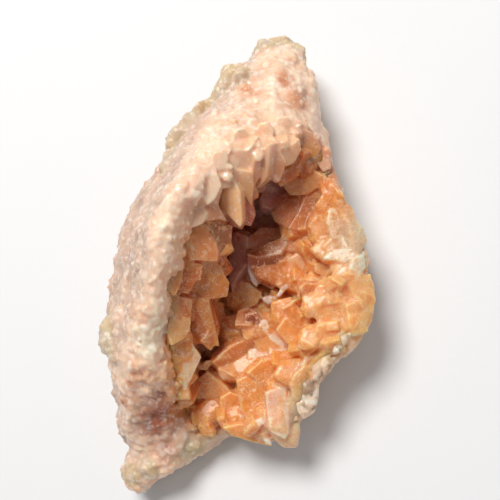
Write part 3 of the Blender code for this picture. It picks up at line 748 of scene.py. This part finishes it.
def lip_crystals(rng, places, normals):
    """Pale pointed crystals along the lip, larger under the peak and hanging towards the hollow."""
    near = line_distance(places, LIP)
    weights = falloff(near, LIP_REACH) * (normals @ TO_CAMERA > -0.4) * ~told_apart(places, ON_STONE)
    chosen = drawn(rng, weights, LIP_CRYSTALS)
    under_peak = np.clip((places[chosen, 1] + 2) / 6, 0.1, 1)
    share = falloff(near[chosen], 4.5) * under_peak
    tall = rng.uniform(0.5, 1.0, len(chosen)) * (0.65 + 1.05 * share)
    wide = tall * rng.uniform(0.7, 1.1, len(chosen))
    axes = normals[chosen] + np.array((0.25, -0.45, -0.1)) + rng.normal(0, 0.3, (len(chosen), 3))
    return small_crystals(rng, places[chosen], axes, wide, wide * rng.uniform(0.5, 0.85, len(chosen)), tall)


def sugar(rng, places, normals):
    """Sugary grains grown over the stone, larger towards the crest."""
    crest = falloff(line_distance(places, CREST), CREST_REACH)
    weights = (0.35 + crest) * (places[:, 2] > 1.2) * ~told_apart(places, ON_STONE)
    chosen = drawn(rng, weights, SUGAR_GRAINS, again=True)
    size = rng.uniform(0.26, 0.6, len(chosen)) * (0.9 + 0.4 * crest[chosen])
    axes = normals[chosen] + rng.normal(0, 0.5, (len(chosen), 3))
    spots = places[chosen] + rng.normal(0, 0.1, (len(chosen), 3)) - normals[chosen] * size[:, None] * 0.45
    thin = size * rng.uniform(0.7, 1, len(chosen))
    return small_crystals(rng, spots, axes, size, thin, size * rng.uniform(0.6, 0.9, len(chosen)))


def seam_crystals(rng, places, normals):
    """Honey crystals along the seam between the stone and the crystals of the hollow."""
    gap = np.array([CRUST.find_nearest(place, 2.0)[3] or 9.0 for place in places])
    weights = (gap < 1.9) * (normals @ TO_CAMERA > -0.3) * ~told_apart(places, ON_STONE)
    chosen = drawn(rng, weights, SEAM_CRYSTALS)
    chosen = chosen[well_inside(places[chosen], 10)]
    size = rng.uniform(0.7, 1.5, len(chosen))
    toward = np.array([tuple(CRUST.find_nearest(place)[0]) for place in places[chosen]]) - places[chosen]
    axes = normals[chosen] + unit(toward) * 0.8 + rng.normal(0, 0.25, (len(chosen), 3))
    tall = size * rng.uniform(0.5, 0.9, len(chosen))
    return small_crystals(rng, places[chosen], axes, size, size * 0.7, tall)


def rim_crumbs(rng, cluster):
    """Adds crumbs of matrix over the blocks on the rim, and gives their colours."""
    tints = []
    for name in CRUMBED:
        _, *cut, corners = ON_STONE[name]
        face = np.array([tuple(place) for place in slab(*cut, corners)[0][:len(corners)]])
        spots = rng.dirichlet(np.full(len(face), 0.5), CRUMBS) @ face
        size = rng.uniform(0.3, 0.75, CRUMBS)
        axes = TO_CAMERA + rng.normal(0, 0.8, (CRUMBS, 3))
        cluster.add(*small_crystals(rng, spots, axes, size, size * 0.8, size * 0.6))
        light = PIT_SHADE if name == "rim_pit" else 1.0
        tints += [paint(shade) * light for shade in rng.choice(CRUMB_SHADES, CRUMBS)]
    return np.array(tints)


def stone_wall():
    """The wall: one skin round the lumpy stone, its sugary grains, and the crystals of its lip."""
    rng = np.random.default_rng(SEED)
    stone, stone_faces = rough_wall()
    normals = normals_of(stone, stone_faces)
    cluster = Cluster()
    cluster.add(stone, stone_faces.tolist())
    cluster.add(*sugar(rng, stone, normals))
    pointed = cluster.add(*lip_crystals(rng, stone, normals))
    cluster.add(*seam_crystals(rng, stone, normals))
    large = cluster.count
    for _, *cut in ON_STONE.values():
        cluster.add(*slab(*cut))
    crumbs = cluster.count
    crumb_tints = rim_crumbs(rng, cluster)
    places, faces = cluster.skin(WALL_VOXEL)
    owners = cluster.owners_at(places)

    shades = rng.uniform(0.92, 1.06, cluster.count)
    flecks = (rng.random(cluster.count) < 0.2) * 0.5
    shades[0], flecks[0], flecks[pointed:] = 1, 0, 0
    shades, flecks = shades[owners], flecks[owners][:, None]
    places = smoothed(places, faces, 2)
    edges = convexity(places, faces, EDGE_DEPTH)
    # Painted light and shade: small edges of the grains are made a little lighter, and crevices darker and
    # redder
    tints = wall_tints(places) * (shades * (1 + 0.06 * np.clip(edges, 0, 1)))[:, None]
    tints *= 1 + np.clip(-edges, 0, 1)[:, None] * STONE_CREVICE_SHADE
    tints = own_tints(mixed(tints, paint("fleck"), flecks), places, owners, large, ON_STONE)
    grains = owners >= crumbs
    tints[grains] = mixed(tints[grains], crumb_tints[owners[grains] - crumbs], 0.7)

    places[:, 2] = np.maximum(places[:, 2], 0)
    gloss = np.where(rng.random(cluster.count) < 0.25, 0.9, 0.1)
    gloss[0], gloss[pointed:crumbs], gloss[crumbs:] = 0, 1, 0.1
    mesh = thinned(to_mesh("dense_wall", places, faces.tolist(), np.clip(tints, 0, 1), gloss[owners]))
    piece("stone_wall", mesh, stone_finish(), "geode_wall")


# Crystals told apart

# How wide the back of a crystal is beside its seen face
BACK_SHARE = 0.94


def slab(tilt, lift, depth, root, corners):
    """Places and faces of one crystal: the seen face, cut by its corners' lines of sight, and its body.

    tilt turns the face towards the picture's right and top, in degrees. Its middle is as far over the
    solids as lift says, or with a root, over the solids at that pixel.
    """
    lean = RIGHT * math.tan(math.radians(tilt[0])) + UP * math.tan(math.radians(tilt[1]))
    normal = (BACK + lean).normalized()
    middle = tuple(sum(corner[i] for corner in corners) / len(corners) for i in (0, 1))
    reaches = [(seen(pixel) - EYE).length for pixel in ([root] if root else [middle, *corners])]
    anchor = EYE + sight(root or middle) * (float(np.median(reaches)) - lift)
    front = []
    for corner in corners:
        ray = sight(corner)
        front.append(EYE + ray * ((anchor - EYE).dot(normal) / ray.dot(normal)))
    centre = sum(front, Vector()) / len(front)
    back = [centre + (place - centre) * BACK_SHARE - normal * depth for place in front]
    count = len(front)
    faces = [list(range(count))[::-1], list(range(count, 2 * count))]
    faces += [[i, (i + 1) % count, count + (i + 1) % count, count + i] for i in range(count)]
    return front + back, faces


# Pale crystals hanging from the lip, and blocks of matrix on the rim: colour, tilt, lift, depth, pixel of the
# root if it has one, and the corners of the face
ON_STONE = {
    "pale_slab": ("peach", (12, -30), 0.3, 1.8, (240, 152), [
        (229, 152), (241, 149), (250, 152), (254, 160), (252, 173), (246, 177), (238, 172), (230, 174),
        (227, 162)]),
    "slab_shade": ("amber", (40, -25), 0.4, 1.8, (256, 152), [
        (254, 157), (263, 151), (263, 172), (254, 190), (252, 173)]),
    "shield": ("amber", (0, -30), 0.45, 2.0, (270, 148), [
        (271, 144), (279, 150), (287, 163), (280, 182), (276, 184), (267, 178), (257, 187), (257, 165)]),
    "shield_side": ("stain", (-40, -25), 0.6, 1.8, (264, 148), [
        (266, 144), (262, 154), (257, 165), (255, 190), (262, 184), (267, 177), (271, 144)]),
    "shield_tip": ("straw", (30, -25), 0.4, 1.8, (288, 148), [
        (279, 150), (290, 146), (300, 138), (302, 150), (294, 164), (287, 167)]),
    "blade_left": ("apricot", (-25, -20), 0.6, 1.6, (232, 178), [
        (230, 174), (240, 192), (242, 222), (240, 229), (230, 218), (219, 205), (222, 186)]),
    "blade_right": ("apricot", (30, -25), 0.6, 1.6, (236, 182), [
        (230, 174), (242, 187), (247, 200), (252, 208), (249, 225), (242, 221), (236, 203)]),
    "blade_back": ("honey", (10, -30), 0.3, 1.8, (240, 172), [
        (230, 168), (254, 172), (254, 190), (252, 209), (247, 200), (240, 187), (231, 180)]),
    "brown_blade": ("amber", (35, -20), 0.5, 1.6, (218, 180), [
        (220, 176), (211, 200), (207, 222), (218, 220), (228, 222), (219, 205), (223, 190)]),
    "lip_pale": ("cream", (0, -8), 0.45, 1.6, (212, 180), [
        (205, 178), (217, 172), (222, 186), (215, 200), (207, 206), (202, 192)]),
    "lip_low": ("cream", (0, -5), 0.5, 1.6, (197, 210), [
        (190, 212), (202, 204), (208, 214), (203, 224), (192, 228), (186, 222)]),
    "peak_slab": ("honey", (20, -15), 0.35, 1.6, (306, 134), [
        (300, 128), (312, 132), (322, 148), (316, 160), (303, 158), (296, 146)]),
    "lip_row_one": ("ivory", (-10, -20), 0.35, 1.4, (262, 130), [
        (258, 124), (268, 122), (274, 132), (270, 144), (260, 145), (256, 136)]),
    "lip_row_two": ("cream", (15, -15), 0.35, 1.4, (282, 124), [
        (277, 118), (288, 116), (296, 128), (290, 142), (280, 140), (275, 130)]),
    "lip_row_three": ("ivory", (20, -25), 0.3, 1.4, (240, 136), [
        (234, 132), (244, 128), (252, 136), (249, 148), (238, 149), (232, 142)]),
    "lip_row_four": ("ivory", (5, -10), 0.35, 1.4, (218, 158), [
        (214, 152), (223, 150), (229, 158), (225, 170), (216, 170), (211, 162)]),
    "peak_edge": ("cream", (5, 5), 0.4, 1.4, (322, 154), [
        (318, 150), (330, 158), (332, 168), (324, 172), (316, 162)]),
    "cream_block": ("ivory", (5, -5), 0.9, 2.2, None, [
        (296, 404), (303, 399), (313, 384), (320, 381), (319, 398), (315, 413), (304, 420), (298, 413)]),
    "rim_crumbs": ("matrix", (10, 0), 0.8, 2.0, None, [
        (313, 366), (322, 358), (330, 354), (334, 362), (326, 374), (319, 382), (312, 380)]),
    "rim_pit": ("olive", (0, 10), 0.7, 2.0, None, [
        (303, 384), (308, 377), (314, 380), (312, 390), (305, 396)]),
    "rim_high": ("ash", (15, 5), 0.6, 1.8, None, [
        (334, 344), (345, 332), (352, 330), (349, 342), (339, 352), (333, 354)]),
}

# Orange crystals of the hollow, told the same way but without a root
CRYSTALS = {
    # The back of the hollow
    "round_amber": ("apricot", (-10, -20), 0.4, 3.0, [
        (284, 163), (292, 161), (312, 170), (325, 176), (322, 186), (307, 195), (290, 196), (283, 187),
        (282, 175)]),
    "ridge_left": ("coral", (-20, 15), 0.5, 3.0, [
        (297, 196), (306, 194), (298, 212), (288, 228), (274, 221), (270, 212)]),
    "ridge_right": ("amber", (5, 5), 0.4, 3.0, [
        (306, 194), (323, 187), (329, 203), (320, 222), (303, 232), (288, 228), (298, 212)]),
    "hole_facet": ("garnet", (30, -30), 0.4, 2.0, [
        (258, 184), (268, 178), (267, 187), (263, 193), (256, 194)]),
    "hole_back": ("plum", (10, 20), 0.4, 2.5, [
        (268, 186), (282, 183), (284, 189), (294, 196), (272, 210), (262, 206), (260, 196)]),
    "pit_wall": ("coral", (10, 20), 0.9, 2.5, [
        (260, 227), (287, 227), (289, 234), (268, 243), (248, 253), (250, 236)]),
    "block_top": ("umber", (-15, 25), 0.8, 3.0, [
        (247, 254), (269, 242), (288, 235), (290, 240), (282, 254), (257, 257)]),
    "block_side": ("ember", (5, -20), 0.7, 3.0, [
        (247, 254), (257, 257), (282, 254), (286, 270), (273, 290), (258, 283), (250, 268)]),
    # The wall under the crest
    "lit_table": ("coral", (25, 0), 0.4, 2.2, [
        (194, 225), (205, 222), (213, 235), (219, 253), (218, 262), (191, 260), (184, 248), (186, 233)]),
    "table_under": ("coral", (20, -35), 0.4, 2.4, [(190, 250), (219, 253), (219, 262), (192, 262)]),
    "dark_wall": ("ember", (35, -15), 0.4, 2.5, [
        (207, 220), (233, 226), (232, 242), (224, 267), (219, 253), (213, 235)]),
    "amber_face": ("honey", (20, -15), 0.4, 2.5, [
        (183, 264), (217, 262), (230, 283), (228, 297), (210, 300), (193, 300), (177, 295), (176, 275)]),
    "purple_face": ("plum", (-30, 5), 1.1, 2.5, [
        (233, 232), (247, 236), (248, 262), (234, 283), (232, 292), (228, 280), (228, 258)]),
    "prism": ("honey", (10, -15), 0.5, 2.6, [
        (194, 298), (209, 299), (213, 317), (220, 347), (205, 345), (194, 343), (192, 328)]),
    "prism_side": ("coral", (55, -10), 0.4, 2.4, [
        (209, 299), (224, 303), (228, 330), (221, 345), (213, 317)]),
    "thin_blade": ("cream", (20, -10), 0.4, 1.0, [
        (191, 328), (183, 340), (177, 350), (183, 357), (192, 343)]),
    "kite": ("cream", (15, -10), 0.8, 1.6, [
        (192, 343), (202, 357), (187, 389), (181, 383), (183, 367), (182, 353)]),
    "lens": ("honey", (0, 10), 1.4, 1.4, [(199, 365), (207, 360), (213, 362), (207, 370), (199, 370)]),
    "pocket": ("apricot", (-10, -15), 0.8, 2.5, [
        (188, 387), (207, 372), (228, 388), (222, 395), (198, 400), (190, 398)]),
    "seam_high": ("straw", (35, 5), 1.3, 2.5, [(170, 262), (184, 262), (182, 282), (176, 296), (168, 290)]),
    "seam_middle": ("straw", (35, 5), 1.3, 2.5, [
        (168, 290), (178, 296), (193, 300), (191, 318), (171, 316)]),
    "seam_low": ("straw", (30, 5), 1.2, 2.5, [
        (171, 316), (191, 318), (191, 330), (183, 340), (172, 346), (167, 330)]),
    # The floor
    "orange_block": ("straw", (-10, -10), 0.6, 2.5, [
        (233, 283), (248, 283), (262, 293), (257, 305), (240, 312), (234, 300), (232, 292)]),
    "brown_lump": ("ember", (8, -15), 0.6, 2.0, [
        (245, 315), (257, 312), (261, 320), (255, 327), (247, 327)]),
    "mottled_block": ("amber", (-10, -5), 0.5, 2.5, [
        (220, 318), (243, 313), (247, 327), (243, 337), (228, 340), (220, 330)]),
    "thin_pale": ("fleck", (20, 15), 0.45, 1.6, [
        (261, 321), (266, 319), (272, 328), (282, 340), (286, 345), (283, 347), (272, 340), (264, 330)]),
    "wedge": ("apricot", (0, -5), 0.3, 2.5, [(262, 324), (283, 350), (262, 352), (248, 336)]),
    # pale_bar_glint and pale_bar_glint_two are painted reflections: faces painted pale where light shines off
    # them
    "pale_bar_glint": ("fleck", (0, 20), 0.6, 1.4, [
        (249, 350), (255, 349), (268, 351), (270, 357), (262, 358), (248, 358)]),
    "pale_bar_glint_two": ("fleck", (5, 25), 0.55, 1.0, [
        (270, 350), (278, 350), (284, 348), (286, 349), (280, 353), (270, 353)]),
    "large_wedge": ("amber", (14, -14), 0.5, 3.0, [
        (212, 363), (232, 345), (245, 340), (262, 349), (260, 362), (246, 372), (232, 382)]),
    "middle_face": ("honey", (10, -6), 0.3, 3.0, [
        (262, 360), (287, 354), (296, 362), (292, 378), (268, 388), (246, 374)]),
    "upper_face": ("honey", (5, 8), 0.25, 3.0, [
        (283, 320), (303, 312), (318, 325), (311, 345), (290, 347), (276, 330)]),
    "right_face": ("apricot", (10, -5), 0.25, 3.0, [
        (318, 325), (340, 320), (344, 333), (328, 350), (311, 345)]),
    "shelf": ("honey", (0, 5), 0.35, 3.0, [
        (236, 380), (250, 374), (268, 388), (267, 417), (250, 420), (241, 412)]),
    "pocket_end": ("amber", (0, -10), 0.15, 2.5, [
        (222, 380), (240, 374), (242, 390), (232, 398), (222, 396)]),
    "lobe_left": ("honey", (-15, -10), 0.5, 3.0, [
        (197, 400), (205, 397), (220, 398), (221, 410), (219, 425), (205, 431), (196, 427), (194, 418)]),
    "lobe_middle": ("honey", (5, -10), 0.4, 3.0, [
        (220, 398), (230, 392), (238, 395), (240, 410), (238, 422), (225, 426), (221, 415)]),
    # pink_table_glint and pink_bar_glint are painted reflections, faces painted pale; pink_under is painted
    # ivory as light shining through the crystal
    "pink_table_glint": ("rose", (0, 10), 0.55, 2.6, [
        (265, 392), (270, 390), (284, 387), (286, 392), (288, 415), (268, 418)]),
    "pink_under": ("ivory", (0, 4), 0.8, 2.6, [(268, 419), (288, 416), (289, 433), (285, 440), (272, 433)]),
    "pink_bar_glint": ("fleck", (-5, 15), 0.5, 1.4, [
        (247, 427), (252, 421), (262, 418), (265, 422), (260, 426), (250, 430)]),
    "lower_face": ("apricot", (0, -15), 0.3, 2.5, [
        (222, 428), (240, 424), (262, 428), (271, 434), (272, 447), (250, 442), (232, 436)]),
    "beige_face": ("straw", (10, -5), 0.4, 2.0, [
        (291, 385), (294, 375), (305, 365), (312, 368), (305, 390), (300, 402), (293, 398)]),
    # bottom_glint is a painted reflection, a face painted grey-white
    "bottom_glint": ("grey_white", (0, 0), 0.6, 1.0, [(264, 439), (270, 440), (273, 446), (265, 444)]),
    "pale_streak": ("rose", (10, 10), 0.45, 1.0, [(300, 366), (303, 368), (312, 356), (309, 353)]),
    "back_step": ("amber", (0, 10), 0.15, 2.5, [
        (283, 232), (296, 229), (304, 234), (303, 246), (294, 252), (284, 250)]),
    # The right side
    # blue_sliver_glint, glint_chain, glint_high, glare and right_bar_glint are painted reflections: faces
    # painted pale where light shines off them
    "blue_sliver_glint": ("grey_white", (5, -15), 3.4, 3.2, [
        (248, 257), (252, 260), (256, 272), (259, 284), (257, 288), (252, 283), (248, 272)]),
    "glint_chain": ("grey_white", (0, 10), 1.6, 1.8, [
        (262, 297), (270, 295), (275, 297), (274, 301), (269, 305), (263, 301)]),
    "glint_high": ("grey_white", (0, 10), 1.7, 2.0, [
        (276, 296), (281, 288), (287, 283), (288, 286), (280, 297)]),
    "bright_streak": ("straw", (0, 20), 0.6, 0.8, [(281, 308), (296, 298), (298, 300), (284, 310)]),
    "glare": ("fleck", (-5, 15), 0.45, 1.6, [
        (322, 259), (334, 250), (345, 249), (355, 250), (358, 254), (352, 258), (345, 262), (332, 260)]),
    "right_bar_glint": ("fleck", (-5, 15), 0.45, 1.2, [
        (333, 277), (342, 267), (347, 266), (345, 271), (337, 278)]),
    "matt_patch": ("peach", (0, 0), 0.25, 2.0, [
        (287, 260), (296, 254), (305, 258), (303, 268), (296, 276), (287, 271)]),
    "amber_right": ("apricot", (0, -10), 0.3, 2.0, [
        (315, 264), (331, 262), (331, 271), (322, 276), (315, 273)]),
    "orange_face": ("amber", (14, -12), 0.45, 2.0, [
        (299, 290), (305, 283), (322, 284), (330, 287), (322, 296), (305, 298)]),
    "rim_lump": ("apricot", (10, 0), 0.35, 2.5, [
        (336, 277), (350, 271), (361, 281), (361, 300), (346, 305), (336, 293)]),
    "rim_lump_low": ("apricot", (10, -5), 0.35, 2.5, [
        (346, 305), (361, 300), (369, 309), (362, 321), (348, 320)]),
    "rim_lump_in": ("apricot", (0, 0), 0.3, 2.5, [
        (308, 312), (320, 303), (335, 299), (346, 307), (342, 320), (322, 325)]),
    "sandy_high": ("ivory", (15, 5), 0.3, 2.0, [
        (330, 208), (341, 211), (349, 225), (345, 240), (333, 238), (327, 222)]),
    "sandy_low": ("fleck", (15, 0), 0.3, 2.0, [(353, 258), (364, 254), (367, 268), (359, 275), (350, 268)]),
}


# Narrow or pale crystals that no other crystal may cover; the faces painted pale as reflections are among
# them
KEPT_CLEAR = [
    "pink_table_glint", "pink_under", "pale_bar_glint", "pale_bar_glint_two", "pink_bar_glint", "thin_pale", "blue_sliver_glint",
    "glint_chain", "glint_high", "glare", "bright_streak", "right_bar_glint", "kite", "hole_back",
    "hole_facet",
]


def told_apart(places, crystals, margin=1.0):
    """Which places are behind or on the crystals that are told apart."""
    pixels = pixels_of(places)
    return np.any([inside(pixels, corners, margin) for *_, corners in crystals.values()], axis=0)


def soft_bed():
    """The crust's solid with rounder edges, grown until it meets the wall."""
    solid = Cluster()
    solid.add(*cad_shape("crystal_crust"))
    places, faces = solid.skin(SOFT_VOXEL)
    places = smoothed(places, faces, 2)
    normals = normals_of(smoothed(places, faces, 8), faces)
    nearest = [WALL.find_nearest(place) for place in places]
    toward = np.array([tuple(hit[0]) for hit in nearest]) - places
    gap = np.array([hit[3] for hit in nearest])
    facing = np.clip((unit(toward) * normals).sum(1) * 1.3, 0, 1)
    growth = np.where(gap < MEETING_REACH, (gap + 0.2) * facing, 0)
    return places + normals * (growth + 0.1)[:, None], faces


def well_inside(places, margin):
    """Which places are a margin of pixels inside the outline of the solids."""
    pixels = pixels_of(places)
    out = unit(pixels - MIDDLE_PIXEL) * margin
    return np.array([SOLIDS.ray_cast(EYE, sight(pixel))[0] is not None for pixel in pixels + out])


def bed_crystals(rng, places, faces):
    """Flat crystals almost sunk in the bed, their broad faces turned out of it."""
    normals = normals_of(places, faces)
    weights = np.clip(normals @ TO_CAMERA + 0.3, 0.02, 1) * (1 - 0.85 * told_apart(places, CRYSTALS))
    weights *= ~told_apart(places, ON_STONE)
    weights *= ~told_apart(places, {name: CRYSTALS[name] for name in KEPT_CLEAR}, 1.7)
    chosen = drawn(rng, weights, BED_CRYSTALS)
    chosen = chosen[well_inside(places[chosen], 12)]
    wide = rng.uniform(0.9, 2.4, len(chosen))
    tall = wide * rng.uniform(0.6, 1.1, len(chosen))
    thin = rng.uniform(0.9, 1.4, len(chosen))
    facing = normals[chosen] + rng.normal(0, 0.16, (len(chosen), 3))
    axes = np.cross(facing, rng.normal(size=(len(chosen), 3)))
    sink = thin / 2 - rng.uniform(0.05, 0.25, len(chosen))
    spots = places[chosen] - normals[chosen] * sink[:, None] - unit(axes) * tall[:, None] * 0.2
    return small_crystals(rng, spots, axes, wide, thin, tall, facing)


def frost(rng, cluster):
    """Fine grains in drifts over the crystals."""
    places, faces = cluster.skin(FROST_VOXEL)
    normals = normals_of(places, faces)
    drifts = np.clip(noises(places, 2.2, 12) * 3 - 0.4, 0.01, 1)
    weights = drifts * np.clip(normals @ TO_CAMERA + 0.3, 0.02, 1)
    weights *= 1 - 0.6 * told_apart(places, CRYSTALS)
    chosen = drawn(rng, weights, FROST_GRAINS)
    size = rng.uniform(0.16, 0.36, len(chosen))
    axes = normals[chosen] + rng.normal(0, 0.5, (len(chosen), 3))
    spots = places[chosen] - normals[chosen] * size[:, None] * 0.3
    return small_crystals(rng, spots, axes, size, size * 0.8, size * 0.7)


def own_tints(tints, places, owners, first, crystals):
    """Gives the crystals that are told apart a share of their own colours, with painted light along their
    edges.

    The colours of those on the stone fade towards their roots.
    """
    pixels = pixels_of(places)
    for number, (colour, *cut, corners) in enumerate(crystals.values()):
        own = owners == first + number
        root = cut[-1] if crystals is ON_STONE else None
        share = OWN_SHARE
        if root:
            share = share * np.clip(distances(pixels[own], root)[:, None] / ROOT_FADE, 0.2, 1)
        body = mixed(tints[own], paint(colour), share)
        # Painted light: a band along each crystal's seen outline is made paler, as if lit through its thin
        # edges
        edge = falloff(line_distance(pixels[own], [*corners, corners[0]]), 2.0)[:, None]
        tints[own] = mixed(body, paint("cream"), 0.2 * edge)
    return tints


def bed_tints(places, owners, shades, large, fine):
    """Colour of the crystals by place and by the crystal that each place is on."""
    tints = own_tints(glow_tints(places) * shades[owners][:, None], places, owners, large, CRYSTALS)
    grains = owners >= fine
    tints[grains] = mixed(tints[grains], paint("cream"), 0.25)
    for pixel, reach in SPECKS:
        share = falloff(distances(places, seen(pixel)), reach)[:, None]
        tints = mixed(tints, paint("crumb"), 0.7 * share)
    return tints


def crystal_bed():
    """The hollow's crystals: one skin round the soft bed, the small ones and the ones told apart."""
    rng = np.random.default_rng(SEED + 1)
    cluster = Cluster()
    bed, bed_faces = soft_bed()
    cluster.add(bed, bed_faces.tolist())
    cluster.add(*bed_crystals(rng, bed, bed_faces))
    large = cluster.count
    for _, *cut, corners in CRYSTALS.values():
        cluster.add(*slab(*cut, None, corners))
    fine = cluster.add(*frost(rng, cluster))
    places, faces = cluster.skin(BED_VOXEL)
    owners = cluster.owners_at(places)

    places = smoothed(places, faces, 3)
    tints = bed_tints(places, owners, rng.uniform(0.93, 1.06, cluster.count), large, fine)
    # Painted light and shade: small edges are made paler, and deep hollows darker and redder as a painted
    # glow
    edges = np.clip(convexity(places, faces, EDGE_DEPTH), 0, 1)[:, None]
    deep = np.clip(-convexity(places, faces, HOLLOW_DEPTH, 40), 0, 1)[:, None]
    tints = mixed(tints * 0.93 * (1 + deep * DEEP_GLOW), paint("cream"), 0.2 * edges)
    mesh = thinned(to_mesh("dense_bed", places, faces.tolist(), np.clip(tints, 0, 1)))
    piece("crystal_bed", mesh, crystal_finish(), "crystal_crust")


# The studio

# How far the floor reaches and how far off the lamp is, in metres
FLOOR_REACH = 3.0
LAMP_DISTANCE = 0.45


def studio():
    """The camera of the photograph, a pale floor, a soft lamp at the picture's upper left, and a pale sky."""
    scene = bpy.context.scene
    lens = bpy.data.cameras.new("camera")
    lens.sensor_width = SENSOR
    lens.lens = SENSOR * FOCAL_PIXELS / PICTURE
    lens.clip_start = 0.005
    camera = placed("camera", lens)
    turn = Matrix((RIGHT, UP, BACK)).transposed().to_4x4()
    camera.matrix_world = Matrix.Translation(EYE * MM) @ turn
    scene.camera = camera

    floor_mesh = bpy.data.meshes.new("floor")
    corners = [(x * FLOOR_REACH, y * FLOOR_REACH, 0) for x, y in ((-1, -1), (1, -1), (1, 1), (-1, 1))]
    floor_mesh.from_pydata(corners, [], [(0, 1, 2, 3)])
    floor = placed("floor", floor_mesh)
    pale = Finish("pale_floor")
    grain = pale.relief(pale.noise(0.8, 2), 0.05, 0.3)
    floor_mesh.materials.append(pale.set(
        Base_Color=(0.84, 0.84, 0.85, 1), Roughness=0.9, Specular_IOR_Level=0.2, Normal=grain))

    key = bpy.data.lights.new("key", "AREA")
    key.shape = "DISK"
    key.size = 0.2
    key.energy = 1.92
    key.color = (1.0, 0.98, 0.95)
    lamp = placed("key", key)
    toward = (-RIGHT * 0.42 + UP * 0.66 + BACK * 0.85).normalized()
    lamp.location = toward * LAMP_DISTANCE + Vector((0, 0, 0.01))
    lamp.rotation_euler = toward.to_track_quat("Z", "Y").to_euler()

    world = bpy.data.worlds.new("world")
    world.use_nodes = True
    sky = world.node_tree.nodes["Background"]
    sky.inputs["Color"].default_value = (0.95, 0.97, 1.0, 1)
    sky.inputs["Strength"].default_value = 0.32
    scene.world = world
    scene.view_settings.view_transform = "Standard"


def main():
    studio()
    stone_wall()
    crystal_bed()


main()
bpy.context.view_layer.update()
